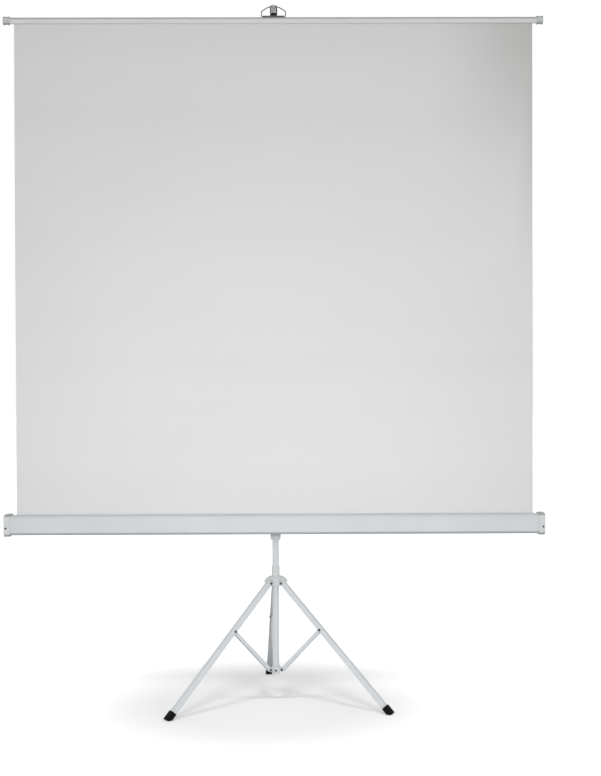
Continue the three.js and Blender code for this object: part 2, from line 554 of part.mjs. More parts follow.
function addCarriage() {
  const depth = CARRIAGE_BACK_Y - CARRIAGE_FRONT_Y;
  const middle = (CARRIAGE_BACK_Y + CARRIAGE_FRONT_Y) / 2;
  const plan = roundedRect(CARRIAGE_WIDTH, depth, CARRIAGE_CORNER, 0, middle);
  const body = raised(plan, CASE_FOOT_Z, CARRIAGE_TOP_Z);
  const skirt = turned('z', [
    [0, SKIRT_FOOT_Z], [SKIRT_FOOT_RADIUS, SKIRT_FOOT_Z], [SKIRT_TOP_RADIUS, CASE_FOOT_Z],
    [SKIRT_TOP_RADIUS, CASE_FOOT_Z + OVERRUN], [0, CASE_FOOT_Z + OVERRUN],
  ]);
  const bossY = CARRIAGE_BACK_Y + LOCK_BOSS_LENGTH;
  const boss = rod('y', LOCK_BOSS_RADIUS, CARRIAGE_BACK_Y - OVERRUN, bossY).translate(0, 0, CARRIAGE_LOCK_Z);
  const guide = rod('z', GUIDE_RADIUS, SKIRT_FOOT_Z - OVERRUN, CARRIAGE_TOP_Z + OVERRUN, ROUND_SIDES);
  const parking = rod('z', COLLAR_RADIUS + COLLAR_CLEARANCE, SKIRT_FOOT_Z - OVERRUN,
    SKIRT_FOOT_Z + SKIRT_DEPTH, ROUND_SIDES);
  const lockHole = rod('y', LOCK_SHANK_RADIUS + GAP, 0, 2 * bossY).translate(0, 0, CARRIAGE_LOCK_Z);
  const boltTip = CARRIAGE_FRONT_Y + SWIVEL_BITE;
  const boltHole = rod('y', SWIVEL_BOLT_RADIUS + GAP, 2 * CARRIAGE_FRONT_Y, boltTip + GAP);
  boltHole.translate(0, 0, CASE_MIDDLE_Z);
  const carriage = cut(join(body, skirt, boss), guide, parking, lockHole, boltHole);
  screen.add(piece('carriage', carriage, WHITE_PLASTIC));

  const screw = thumbScrew(MAST_RADIUS + GAP, bossY).translate(0, 0, CARRIAGE_LOCK_Z);
  screen.add(piece('carriage_lock_screw', screw, BLACK_PLASTIC));

  const plateBack = CARRIAGE_FRONT_Y - GAP;
  const plateFront = CASE_BACK_Y + GAP;
  const face = roundedRect(SWIVEL_PLATE_WIDTH, SWIVEL_PLATE_HEIGHT, SWIVEL_PLATE_CORNER, 0, CASE_MIDDLE_Z);
  const plate = upright(face, plateFront, plateBack);
  const plateHole = rod('y', SWIVEL_BOLT_RADIUS + GAP, 2 * CASE_BACK_Y, 0).translate(0, 0, CASE_MIDDLE_Z);
  screen.add(piece('swivel_plate', cut(plate, plateHole), WHITE_PAINT));

  const headBack = CASE_BACK_Y - CASE_SHEET - GAP;
  const bolt = turned('y', [
    [0, headBack - SWIVEL_HEAD_HEIGHT], [SWIVEL_HEAD_RADIUS, headBack - SWIVEL_HEAD_HEIGHT],
    [SWIVEL_HEAD_RADIUS, headBack], [SWIVEL_BOLT_RADIUS, headBack], [SWIVEL_BOLT_RADIUS, boltTip],
    [0, boltTip],
  ], SMALL_SIDES).translate(0, 0, CASE_MIDDLE_Z);
  screen.add(piece('swivel_bolt', bolt, DARK_STEEL));
}

// Case, end caps and their screws

function screwPlaces() {
  const x = CASE_LENGTH / 2 - CAP_SCREW_INSET;
  const z = CASE_MIDDLE_Z - CAP_SCREW_DROP;
  return { left: [-x, z], right: [x, z] };
}

function addCase() {
  const shellEnd = CASE_LENGTH / 2 - CAP_PLATE - GAP;
  const outline = roundedRect(CASE_DEPTH, CASE_HEIGHT, CASE_CORNER, CASE_MIDDLE_Y, CASE_MIDDLE_Z);
  outline.holes.push(roundedRect(CASE_DEPTH - 2 * CASE_SHEET, CASE_HEIGHT - 2 * CASE_SHEET,
    CASE_CORNER - CASE_SHEET, CASE_MIDDLE_Y, CASE_MIDDLE_Z));
  const shell = crosswise(outline, -shellEnd, shellEnd);
  const slot = block(-CASE_LENGTH, CASE_LENGTH, FABRIC_Y - CASE_SLOT / 2, FABRIC_Y + CASE_SLOT / 2,
    CASE_MIDDLE_Z, CASE_FOOT_Z + 2 * CASE_HEIGHT);
  const boltHole = rod('y', SWIVEL_BOLT_RADIUS + GAP, CASE_MIDDLE_Y, 0).translate(0, 0, CASE_MIDDLE_Z);
  const screwHoles = Object.values(screwPlaces()).map(([x, z]) =>
    rod('y', CAP_SCREW_RADIUS + GAP, CASE_MIDDLE_Y - CASE_DEPTH, CASE_MIDDLE_Y).translate(x, 0, z));
  screen.add(piece('case_shell', cut(shell, slot, boltHole, ...screwHoles), WHITE_PAINT));
  addCap('left', -1);
  addCap('right', 1);
}

// An end cap on the shell: a cup with round outer edges and a boss for the roller's pin
function addCap(side, sign) {
  const depth = CASE_DEPTH + 2 * CAP_PROUD;
  const height = CASE_HEIGHT + 2 * CAP_PROUD;
  const corner = CASE_CORNER + CAP_PROUD;
  const profile = roundedRect(depth - 2 * CAP_ROUND, height - 2 * CAP_ROUND, corner - CAP_ROUND);
  const rounded = new THREE.ExtrudeGeometry(profile, {
    depth: CAP_LENGTH - 2 * CAP_ROUND, curveSegments: CORNER_STEPS, bevelEnabled: true,
    bevelThickness: CAP_ROUND, bevelSize: CAP_ROUND, bevelSegments: CORNER_STEPS,
  }).translate(0, 0, CAP_ROUND - CAP_LENGTH);
  const pocket = raised(roundedRect(CASE_DEPTH + 2 * GAP, CASE_HEIGHT + 2 * GAP, CASE_CORNER + GAP),
    -2 * CAP_LENGTH, -CAP_PLATE);
  const toRoller = ROLL_Y - CASE_MIDDLE_Y;
  const boss = rod('z', CAP_BOSS_RADIUS, -CAP_PLATE - CAP_BOSS_LENGTH, -CAP_PLATE / 2);
  boss.translate(toRoller, 0, 0);
  const pinHole = rod('z', GUDGEON_RADIUS + GAP, -2 * CAP_LENGTH, -CAP_PLATE).translate(toRoller, 0, 0);
  const placed = (shape) => solid(shape.rotateX(Math.PI / 2).rotateZ(Math.PI / 2)
    .translate(CASE_LENGTH / 2, CASE_MIDDLE_Y, CASE_MIDDLE_Z));
  const [x, z] = screwPlaces().right;
  const front = CASE_MIDDLE_Y - CASE_DEPTH / 2 - CAP_PROUD;
  const screwHole = rod('y', CAP_SCREW_RADIUS + GAP, 2 * front, CASE_MIDDLE_Y).translate(x, 0, z);
  const cap = cut(join(cut(placed(rounded), placed(pocket)), placed(boss)), placed(pinHole), screwHole);
  const facing = sign > 0 ? cap : cap.mirror([1, 0, 0]);
  screen.add(piece(`case_cap_${side}`, facing, WHITE_PLASTIC));

  const screw = turned('y', [
    [0, -GAP - CAP_SCREW_HEAD_HEIGHT], [CAP_SCREW_HEAD * DOME_FLAT, -GAP - CAP_SCREW_HEAD_HEIGHT],
    [CAP_SCREW_HEAD, -GAP - CAP_SCREW_HEAD_HEIGHT / 3], [CAP_SCREW_HEAD, -GAP],
    [CAP_SCREW_RADIUS, -GAP], [CAP_SCREW_RADIUS, CAP_SCREW_LENGTH], [0, CAP_SCREW_LENGTH],
  ], SMALL_SIDES).translate(sign * x, front, z);
  screen.add(piece(`cap_screw_${side}`, screw, DARK_STEEL));
}

// Spring roller inside the case

function addRoller() {
  const axisAt = (geometry) => geometry.translate(0, ROLL_Y, CASE_MIDDLE_Z);
  const bore = ROLLER_RADIUS - ROLLER_WALL;
  screen.add(piece('roller_tube', axisAt(pipe('x', ROLLER_RADIUS, bore, -ROLLER_HALF, ROLLER_HALF)), ZINC));
  const wound = pipe('x', ROLL_RADIUS, ROLLER_RADIUS + GAP, -FABRIC_WIDTH / 2, FABRIC_WIDTH / 2);
  screen.add(piece('fabric_roll', axisAt(wound), SCREEN_WHITE));

  const pinHole = GUDGEON_RADIUS + GAP;
  for (const [side, sign] of [['left', -1], ['right', 1]]) {
    const seat = ROLLER_HALF + GAP;
    const plug = turned('x', [
      [pinHole, sign * (seat - ROLLER_PLUG_LENGTH)], [bore - GAP, sign * (seat - ROLLER_PLUG_LENGTH)],
      [bore - GAP, sign * seat], [ROLLER_RADIUS, sign * seat],
      [ROLLER_RADIUS, sign * (seat + ROLLER_PLUG_FLANGE)], [pinHole, sign * (seat + ROLLER_PLUG_FLANGE)],
    ]);
    screen.add(piece(`roller_plug_${side}`, axisAt(plug), WHITE_PLASTIC));
  }

  const pinSeat = CASE_LENGTH / 2 - CAP_PLATE - GAP;
  const arbor = rod('x', GUDGEON_RADIUS, -pinSeat, ARBOR_LENGTH - pinSeat);
  screen.add(piece('spring_arbor', axisAt(arbor), ZINC));
  const gudgeon = rod('x', GUDGEON_RADIUS, pinSeat - GUDGEON_LENGTH, pinSeat);
  screen.add(piece('roller_gudgeon', axisAt(gudgeon), ZINC));

  const springStart = -ROLLER_HALF - GAP + ROLLER_PLUG_LENGTH + GAP + SPRING_WIRE_RADIUS;
  screen.add(piece('roller_spring', axisAt(springCoil(springStart)), DARK_STEEL));
}

// A coil along +X round the arbor, as one unbroken tube
function springCoil(startX) {
  const radius = (GUDGEON_RADIUS + GAP + SPRING_WIRE_RADIUS) / Math.cos(Math.PI / SPRING_STEPS);
  const rings = SPRING_TURNS * SPRING_STEPS + 1;
  const points = [];
  const faces = [];
  for (let i = 0; i < rings; i += 1) {
    const turn = (2 * Math.PI * i) / SPRING_STEPS;
    const along = startX + (SPRING_LENGTH * i) / (rings - 1);
    for (let k = 0; k < SPRING_SIDES; k += 1) {
      const around = (2 * Math.PI * k) / SPRING_SIDES;
      const out = radius + SPRING_WIRE_RADIUS * Math.cos(around);
      points.push(along + SPRING_WIRE_RADIUS * Math.sin(around), out * Math.cos(turn), out * Math.sin(turn));
    }
  }
  const corner = (i, k) => i * SPRING_SIDES + (k % SPRING_SIDES);
  for (let i = 0; i + 1 < rings; i += 1) {
    for (let k = 0; k < SPRING_SIDES; k += 1) {
      faces.push(corner(i, k), corner(i, k + 1), corner(i + 1, k + 1));
      faces.push(corner(i, k), corner(i + 1, k + 1), corner(i + 1, k));
    }
  }
  for (let k = 1; k + 1 < SPRING_SIDES; k += 1) {
    faces.push(corner(0, 0), corner(0, k + 1), corner(0, k));
    faces.push(corner(rings - 1, 0), corner(rings - 1, k), corner(rings - 1, k + 1));
  }
  const coil = new THREE.BufferGeometry();
  coil.setAttribute('position', new THREE.BufferAttribute(new Float32Array(points), 3));
  coil.setIndex(faces);
  return coil;
}

// Fabric, slat and bail

function addFabric() {
  const top = SLAT_Z - SLAT_RADIUS + SLAT_TUCK;
  const half = FABRIC_THICKNESS / 2;
  const sheet = block(-FABRIC_WIDTH / 2, FABRIC_WIDTH / 2, FABRIC_Y - half, FABRIC_Y + half,
    CASE_MIDDLE_Z, top);
  screen.add(piece('screen_fabric', sheet, SCREEN_WHITE));
}

function addSlat() {
  const slatAt = (geometry) => geometry.translate(0, FABRIC_Y, SLAT_Z);
  const tubeEnd = SLAT_LENGTH / 2 - SLAT_CAP_END - GAP;
  const tube = slatAt(pipe('x', SLAT_RADIUS, SLAT_RADIUS - SLAT_WALL, -tubeEnd, tubeEnd));
  const slot = block(-SLAT_LENGTH, SLAT_LENGTH, FABRIC_Y - SLAT_SLOT / 2, FABRIC_Y + SLAT_SLOT / 2,
    SLAT_Z - 2 * SLAT_RADIUS, SLAT_Z);
  screen.add(piece('slat_tube', cut(tube, slot), WHITE_PAINT));

  const end = SLAT_LENGTH / 2;
  const waist = end - SLAT_CAP_LENGTH / 2;
  const bore = SLAT_RADIUS + GAP;
  const profile = [
    [bore, end - SLAT_CAP_LENGTH], [SLAT_CAP_RADIUS, end - SLAT_CAP_LENGTH],
    [SLAT_CAP_RADIUS, end - SLAT_CAP_LENGTH + SLAT_CAP_RIM], [SLAT_CAP_WAIST, waist],
    [SLAT_CAP_RADIUS, end - SLAT_CAP_RIM], [SLAT_CAP_RADIUS, end - CHAMFER],
    [SLAT_CAP_RADIUS - CHAMFER, end],
    [0, end], [0, end - SLAT_CAP_END], [bore, end - SLAT_CAP_END],
  ];
  for (const [side, sign] of [['left', -1], ['right', 1]]) {
    const cap = turned('x', [...profile, profile[0]].map(([radius, place]) => [radius, sign * place]));
    screen.add(piece(`slat_cap_${side}`, slatAt(cap), WHITE_PLASTIC));
  }

  const saddleTop = SLAT_RADIUS + SADDLE_RISE;
  const plan = roundedRect(SADDLE_WIDTH, saddleTop, SADDLE_WIDTH / 3, 0, saddleTop / 2);
  const saddle = slatAt(crosswise(plan, -SADDLE_LENGTH / 2, SADDLE_LENGTH / 2));
  const seat = slatAt(rod('x', SLAT_RADIUS + GAP, -SADDLE_LENGTH, SADDLE_LENGTH, ROUND_SIDES));
  const eye = rod('x', BAIL_WIRE_RADIUS + GAP, -SADDLE_LENGTH, SADDLE_LENGTH);
  eye.translate(0, FABRIC_Y, BAIL_PIVOT_Z);
  screen.add(piece('bail_saddle', cut(saddle, seat, eye), ZINC));
}

// The bail: stubs in the saddle's ends, upright sides, sloping shoulders and a short straight top
function addBail() {
  const side = BAIL_WIDTH / 2;
  const top = BAIL_TOP_WIDTH / 2;
  const stub = side - BAIL_STUB;
  const half = [
    [stub, 0], [side - BAIL_BEND, 0], [side, BAIL_BEND], [side, BAIL_SIDE],
    [side - BAIL_BEND, BAIL_SIDE + 2 * BAIL_BEND],
    [top + 3 * BAIL_BEND, BAIL_REACH - 2 * BAIL_BEND], [top, BAIL_REACH],
  ];
  const run = [...half, ...half.toReversed().map(([x, z]) => [-x, z])];
  const wire = bentWire(run, BAIL_WIRE_RADIUS);
  const bail = wire.rotateX(-BAIL_LEAN).translate(0, FABRIC_Y, BAIL_PIVOT_Z);
  screen.add(piece('bail_wire', bail, DARK_STEEL));
}

// A round wire through points in the (x, z) plane, mitred at each bend
function bentWire(run, radius, sides = WIRE_SIDES) {
  const at = run.map(([x, z]) => new THREE.Vector2(x, z));
  const points = [];
  const faces = [];
  at.forEach((place, i) => {
    const before = i > 0 ? place.clone().sub(at[i - 1]).normalize() : null;
    const after = i + 1 < at.length ? at[i + 1].clone().sub(place).normalize() : null;
    const mean = (before ?? after).clone().add(after ?? before).normalize();
    const stretch = radius / mean.dot(after ?? before);
    for (let k = 0; k < sides; k += 1) {
      const around = (2 * Math.PI * (k + 0.5)) / sides;
      const out = stretch * Math.cos(around);
      points.push(place.x - mean.y * out, radius * Math.sin(around), place.y + mean.x * out);
    }
  });
  const corner = (i, k) => i * sides + (k % sides);
  for (let i = 0; i + 1 < at.length; i += 1) {
    for (let k = 0; k < sides; k += 1) {
      faces.push(corner(i, k), corner(i, k + 1), corner(i + 1, k + 1));
      faces.push(corner(i, k), corner(i + 1, k + 1), corner(i + 1, k));
    }
  }
  for (let k = 1; k + 1 < sides; k += 1) {
    faces.push(corner(0, 0), corner(0, k + 1), corner(0, k));
    faces.push(corner(at.length - 1, 0), corner(at.length - 1, k), corner(at.length - 1, k + 1));
  }
  const wire = new THREE.BufferGeometry();
  wire.setAttribute('position', new THREE.BufferAttribute(new Float32Array(points), 3));
  wire.setIndex(faces);
  return wire;
}

// Telescopic pole, its plugs and the hook

// The plan of the hook and its plug: a bar with round ends from the pole forward
function hookPlan() {
  const radius = HOOK_WIDTH / 2;
  const plan = new THREE.Shape();
  plan.absarc(0, 0, radius, 0, Math.PI);
  plan.lineTo(-radius, HOOK_FRONT_Y + radius);
  plan.absarc(0, HOOK_FRONT_Y + radius, radius, Math.PI, 2 * Math.PI);
  return plan;
}

function addPole() {
  const tube = pipe('z', POLE_RADIUS, POLE_BORE, POLE_FOOT_Z, POLE_TOP_Z);
  screen.add(piece('pole_tube', tube, WHITE_PAINT));

  const footPlug = turned('z', [
    [0, POLE_FOOT_Z - GAP - POLE_PLUG_FLANGE], [POLE_RADIUS, POLE_FOOT_Z - GAP - POLE_PLUG_FLANGE],
    [POLE_RADIUS, POLE_FOOT_Z - GAP], [POLE_BORE - GAP, POLE_FOOT_Z - GAP],
    [POLE_BORE - GAP, POLE_FOOT_Z + POLE_PLUG_DEPTH], [0, POLE_FOOT_Z + POLE_PLUG_DEPTH],
  ]);
  screen.add(piece('pole_foot_plug', footPlug, BLACK_PLASTIC));

  const plugFoot = POLE_TOP_Z + GAP;
  const head = raised(hookPlan(), plugFoot, plugFoot + HOOK_PLUG_HEIGHT, 2 * CORNER_STEPS);
  const insert = rod('z', POLE_BORE - GAP, POLE_TOP_Z - HOOK_PLUG_INSERT, plugFoot + OVERRUN, ROUND_SIDES);
  screen.add(piece('pole_top_plug', join(head, insert), BLACK_PLASTIC));
}

// A metal post with a groove across its top. The groove's front slope follows the path of the wire
// round the bail's pivot, and its back wall stops the wire
function addHook() {
  const seatY = FABRIC_Y + BAIL_REACH * Math.sin(BAIL_LEAN);
  const wireZ = BAIL_PIVOT_Z + BAIL_REACH * Math.cos(BAIL_LEAN);
  const crestY = HOOK_FRONT_Y + HOOK_CREST;
  const crestAngle = Math.acos((crestY - FABRIC_Y) / WIRE_PATH);
  const crestZ = BAIL_PIVOT_Z + WIRE_PATH * Math.sin(crestAngle);
  const backY = seatY + HOOK_SEAT_SPARE;
  const backAngle = Math.acos((backY - FABRIC_Y) / WIRE_PATH);
  const above = crestZ + 2 * HOOK_CREST;
  const groove = new THREE.Shape();
  groove.moveTo(crestY, above);
  groove.lineTo(crestY, crestZ);
  groove.absarc(FABRIC_Y, BAIL_PIVOT_Z, WIRE_PATH, crestAngle, backAngle, true);
  groove.lineTo(backY, wireZ);
  groove.lineTo(HOOK_WIDTH, wireZ);
  groove.lineTo(HOOK_WIDTH, above);
  const post = raised(hookPlan(), HOOK_FOOT_Z, crestZ, 2 * CORNER_STEPS);
  const front = roundedRect(HOOK_WIDTH, 2 * (crestZ - HOOK_FOOT_Z), HOOK_CORNER, 0, HOOK_FOOT_Z);
  const shaped = common(post, upright(front, 2 * HOOK_FRONT_Y, HOOK_WIDTH));
  const cutter = crosswise(groove, -HOOK_WIDTH, HOOK_WIDTH, 3 * CORNER_STEPS);
  screen.add(piece('pole_hook', cut(shaped, cutter), ZINC));
}

addMast();
addTripod();
addCarriage();
addCase();
addRoller();
addFabric();
addSlat();
addBail();
addPole();
addHook();

// The origin lies on the floor under the middle of the whole object
const extent = new THREE.Box3().setFromObject(screen, true);
screen.position.y = -(extent.min.y + extent.max.y) / 2;

export default screen;
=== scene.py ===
"""Tripod projection screen: finishes, soft parts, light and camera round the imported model."""

import math

import bpy
from mathutils import Matrix, Vector, noise


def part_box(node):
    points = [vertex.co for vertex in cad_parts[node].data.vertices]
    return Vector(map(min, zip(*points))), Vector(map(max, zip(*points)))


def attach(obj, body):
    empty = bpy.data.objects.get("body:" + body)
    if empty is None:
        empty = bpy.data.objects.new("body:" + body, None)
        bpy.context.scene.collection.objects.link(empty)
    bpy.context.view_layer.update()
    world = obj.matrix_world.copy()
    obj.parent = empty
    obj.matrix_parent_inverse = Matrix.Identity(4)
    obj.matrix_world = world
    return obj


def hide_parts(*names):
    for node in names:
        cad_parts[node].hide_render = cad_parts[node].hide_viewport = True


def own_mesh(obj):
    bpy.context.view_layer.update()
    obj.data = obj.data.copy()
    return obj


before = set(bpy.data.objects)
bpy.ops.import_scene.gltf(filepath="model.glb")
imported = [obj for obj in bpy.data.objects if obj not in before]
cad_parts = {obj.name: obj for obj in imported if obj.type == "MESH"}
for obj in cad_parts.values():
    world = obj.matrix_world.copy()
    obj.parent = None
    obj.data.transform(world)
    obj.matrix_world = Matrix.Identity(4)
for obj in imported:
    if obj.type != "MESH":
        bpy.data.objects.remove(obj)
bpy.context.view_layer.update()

METRE = 1000

# Fineness of round shapes
TUBE_SIDES, BOSS_SIDES, PIN_SIDES, HOLE_SIDES, WIRE_SIDES = 64, 40, 32, 24, 20
ARC_STEPS, CASE_STEPS = 8, 12

# How far joining and cutting shapes run past the surfaces they meet, in millimetres
OVERRUN, BORE_REACH, TRIM_SIDE, TRIM_END = 1, 40, 20, 40

# Sizes in millimetres, measured from the mast's axis and the floor
GAP = 0.3
MAST_RADIUS, MAST_BORE, MAST_FOOT, MAST_TOP = 9.5, 8.3, 86, 1210
POLE_RADIUS, POLE_BORE, POLE_FOOT, POLE_TOP = 8, 7, 850, 1994.55
GUIDE_RADIUS = MAST_RADIUS + GAP
LOCK_KNOB_RADIUS, LOCK_KNOB_LENGTH, LOCK_SHANK, LOCK_BORE = 11, 11, 2.5, 2.8
LOCK_BOSS, LOCK_BOSS_LENGTH, LOCK_BOSS_EDGE = 7.5, 8, 0.6
LEG_ANGLE = math.radians(44)
LEG_PLACES = {"left": math.radians(215), "right": math.radians(335), "rear": math.radians(95)}
HUB_RADIUS, PIVOT_RADIUS, CROWN_PIVOT_Z, SPIDER_PIVOT_Z = 11.9, 22, 350, 96
SCISSOR = (CROWN_PIVOT_Z - SPIDER_PIVOT_Z) / (2 * math.cos(LEG_ANGLE))
LEG_WIDTH, LEG_WALL, LEG_INNER, LEG_OUTER, LEG_CORNER = 19.5, 1.4, 5, 9, 5
LEG_DEPTH, LEG_MIDDLE = LEG_INNER + LEG_OUTER, (LEG_OUTER - LEG_INNER) / 2
STRUT_WIDTH, STRUT_WALL, STRUT_HALF, STRUT_CORNER = 12, 1.2, 5.8, 2.4
PIN_HOLE = 2.5
FOOT_WALL, FOOT_LENGTH, FOOT_SOLE, FOOT_CORNER, SOLE_CUT = 1.4, 28, 9, 4.5, 7
EDGE_DROP = (LEG_INNER + GAP + FOOT_WALL) * math.sin(LEG_ANGLE)
LEG_END = (CROWN_PIVOT_Z - EDGE_DROP + SOLE_CUT) / math.cos(LEG_ANGLE) - FOOT_SOLE
FABRIC_WIDTH, FABRIC_THICK, FABRIC_Y = 1500, 0.6, -36
FABRIC_FOOT, FABRIC_TOP = 527.25, 1979.75
SLAT_Z, SLAT_RADIUS, SLAT_WALL, SLAT_LENGTH, SLAT_SLOT = 1985, 9.25, 1.2, 1561, 2.2
CAP_RADIUS, CAP_WAIST, CAP_LENGTH, CAP_END, CAP_RIM = 12, 10.6, 18.5, 5, 3.7
CAP_BORE = SLAT_RADIUS + GAP
BAIL_PIVOT_Z, BAIL_LEAN, BAIL_REACH = 1996.65, math.radians(33), 40.5
BAIL_WIDTH, BAIL_TOP_WIDTH, BAIL_SIDE, BAIL_STUB = 70, 27, 22, 9
BAIL_WIRE, BAIL_BEND = 1.3, 5
HOOK_WIDTH, HOOK_FRONT, HOOK_CREST = 20.8, -26, 4
PLUG_FOOT, PLUG_HEIGHT = POLE_TOP + GAP, 15
CASE_LENGTH, CASE_HEIGHT, CASE_DEPTH, CASE_CORNER, CASE_WALL = 1560, 56.5, 50, 9, 1
CASE_Y, CASE_Z, CASE_SLOT = -49, 527.25, 8
SWIVEL_BORE = 4.3
END_CAP_LENGTH, END_CAP_PROUD, END_CAP_PLATE = 19, 3.75, 3
ROLL_Y, ROLL_RADIUS, ROLLER_RADIUS, GUDGEON_BORE = -49.2, 12.6, 11, 4.3

axis_low, axis_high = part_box("mast_tube")
MAST_Y = (axis_low.y + axis_high.y) / 2


def place(point):
    """A point in millimetres from the mast's axis, in the part's frame in metres."""
    x, y, z = point
    return Vector((x / METRE, y / METRE + MAST_Y, z / METRE))


# Materials


def map_range(tree, value, source, target, kind="LINEAR"):
    """A value that is mapped from one range to another."""
    node = tree.nodes.new("ShaderNodeMapRange")
    node.interpolation_type = kind
    for key, number in zip(("From Min", "From Max", "To Min", "To Max"), (*source, *target)):
        node.inputs[key].default_value = number
    tree.links.new(value, node.inputs["Value"])
    return node.outputs["Result"]


class Nodes:
    """A small builder for one material's nodes."""

    def __init__(self, name):
        self.material = bpy.data.materials.new(name)
        self.material.use_nodes = True
        self.tree = self.material.node_tree
        self.shader = self.tree.nodes["Principled BSDF"]
        self.coordinates = self.add("ShaderNodeTexCoord").outputs["Object"]

    def add(self, kind, **settings):
        node = self.tree.nodes.new(kind)
        for key, value in settings.items():
            setattr(node, key, value)
        return node

    def link(self, output, socket):
        self.tree.links.new(output, socket)

    def noise(self, scale, detail=3.0, stretch=(1, 1, 1)):
        mapping = self.add("ShaderNodeMapping")
        mapping.inputs["Scale"].default_value = stretch
        self.link(self.coordinates, mapping.inputs["Vector"])
        texture = self.add("ShaderNodeTexNoise")
        texture.inputs["Scale"].default_value = scale
        texture.inputs["Detail"].default_value = detail
        self.link(mapping.outputs["Vector"], texture.inputs["Vector"])
        return texture.outputs["Fac"]

    def wave(self, direction, scale, distortion, detail_scale):
        texture = self.add("ShaderNodeTexWave", bands_direction=direction)
        texture.inputs["Scale"].default_value = scale
        texture.inputs["Distortion"].default_value = distortion
        texture.inputs["Detail Scale"].default_value = detail_scale
        self.link(self.coordinates, texture.inputs["Vector"])
        return texture.outputs["Fac"]

    def spread(self, value, low, high, start=0.3, stop=0.7):
        """A value between start and stop, spread from low to high."""
        return map_range(self.tree, value, (start, stop), (low, high))

    def eased(self, axis, start, stop):
        """0 to 1 between two places along an axis, with a soft start and end."""
        return map_range(self.tree, self.along(axis), (start, stop), (0, 1), "SMOOTHSTEP")

    def math(self, operation, first, second):
        node = self.add("ShaderNodeMath", operation=operation)
        for socket, value in zip(node.inputs, (first, second)):
            if isinstance(value, (int, float)):
                socket.default_value = value
            else:
                self.link(value, socket)
        return node.outputs["Value"]

    def along(self, axis):
        """The place along an axis of the part's frame, in metres."""
        node = self.add("ShaderNodeSeparateXYZ")
        self.link(self.coordinates, node.inputs["Vector"])
        return node.outputs[axis]

    def shaded_by_height(self, colour, base, shading_bands):
        """A colour that turns to a share of a base colour between each band's two heights: painted shade
        where the share is below 1, painted light where it is above 1.
        """
        for start, stop, share in shading_bands:
            shaded = tuple(share * channel for channel in base)
            colour = self.mixed(self.spread(self.along("Z"), 0, 1, start, stop), colour, shaded)
        return colour

    def mixed(self, value, first, second):
        """A colour between two, each a colour or another mix."""
        node = self.add("ShaderNodeMix", data_type="RGBA")
        sockets = {socket.identifier: socket for socket in node.inputs}
        for key, colour in (("A_Color", first), ("B_Color", second)):
            if isinstance(colour, tuple):
                sockets[key].default_value = (*colour, 1)
            else:
                self.link(colour, sockets[key])
        self.link(value, sockets["Factor_Float"])
        return next(socket for socket in node.outputs if socket.identifier == "Result_Color")

    def colour(self, colour):
        self.link(colour, self.shader.inputs["Base Color"])

    def roughness(self, value, low, high):
        self.link(self.spread(value, low, high), self.shader.inputs["Roughness"])

    def bump(self, height, strength, distance):
        node = self.add("ShaderNodeBump")
        node.inputs["Strength"].default_value = strength
        node.inputs["Distance"].default_value = distance
        self.link(height, node.inputs["Height"])
        self.link(node.outputs["Normal"], self.shader.inputs["Normal"])

    def fixed(self, **sockets):
        for key, value in sockets.items():
            self.shader.inputs[key.replace("_", " ")].default_value = value


def painted_steel(name, dark, light, shading_bands=()):
    """Satin white paint on rolled steel: orange peel, faint clouds, and painted shade and light in bands
    set by height.
    """
    nodes = Nodes(name)
    paint = nodes.mixed(nodes.spread(nodes.noise(scale=7), 0, 1), dark, light)
    nodes.colour(nodes.shaded_by_height(paint, dark, shading_bands))
    nodes.roughness(nodes.noise(scale=45, detail=4), low=0.34, high=0.46)
    nodes.bump(nodes.noise(scale=900, detail=2), strength=0.12, distance=0.0002)
    nodes.fixed(Metallic=0.0, Specular_IOR_Level=0.12)
    return nodes.material


def moulded_plastic(name, dark, light, rough, grain, shading_bands=()):
    """Moulded plastic with a fine sparked surface, and painted shade along its rims in bands set by
    height.
    """
    nodes = Nodes(name)
    play = 0.06
    plastic = nodes.mixed(nodes.spread(nodes.noise(scale=16), 0, 1), dark, light)
    nodes.colour(nodes.shaded_by_height(plastic, dark, shading_bands))
    nodes.roughness(nodes.noise(scale=60, detail=4), low=rough - play, high=rough + play)
    nodes.bump(nodes.noise(scale=1400, detail=2), strength=grain, distance=0.00025)
    nodes.fixed(Specular_IOR_Level=0.25)
    return nodes.material


def screen_cloth():
    """Matt white coated cloth: a fine plain weave, faint bands from the roll, and painted shade towards
    the right edge and an upper corner.
    """
    nodes = Nodes("screen_cloth")
    warp, weft = (nodes.wave(axis, scale=210, distortion=0.4, detail_scale=2.0) for axis in "XZ")
    cloud = nodes.noise(scale=1.6)
    bands = nodes.noise(scale=3.0, detail=2, stretch=(0.03, 1, 2.2))
    tone = nodes.math("ADD", nodes.spread(cloud, 0, 0.5), nodes.spread(bands, 0, 0.5))
    cloth = nodes.mixed(tone, (0.747, 0.744, 0.733), (0.787, 0.784, 0.773))
    # Painted shade: the cloth turns greyer towards its upper right corner and along its right edge.
    corner = nodes.math("MULTIPLY", nodes.eased("X", 0.419, 0.816), nodes.eased("Z", 1.421, 2.014))
    edge = nodes.math("MULTIPLY", nodes.eased("X", 0.68, 0.76), nodes.eased("Z", 1.1, 2.05))
    painted_shade = nodes.math("MAXIMUM", corner, edge)
    nodes.colour(nodes.mixed(painted_shade, cloth, (0.571, 0.576, 0.552)))
    nodes.roughness(nodes.noise(scale=300, detail=2), low=0.82, high=0.95)
    nodes.bump(nodes.math("ADD", warp, weft), strength=0.18, distance=0.0002)
    nodes.fixed(Sheen_Weight=0.08, Sheen_Roughness=0.6, Specular_IOR_Level=0.25)
    return nodes.material


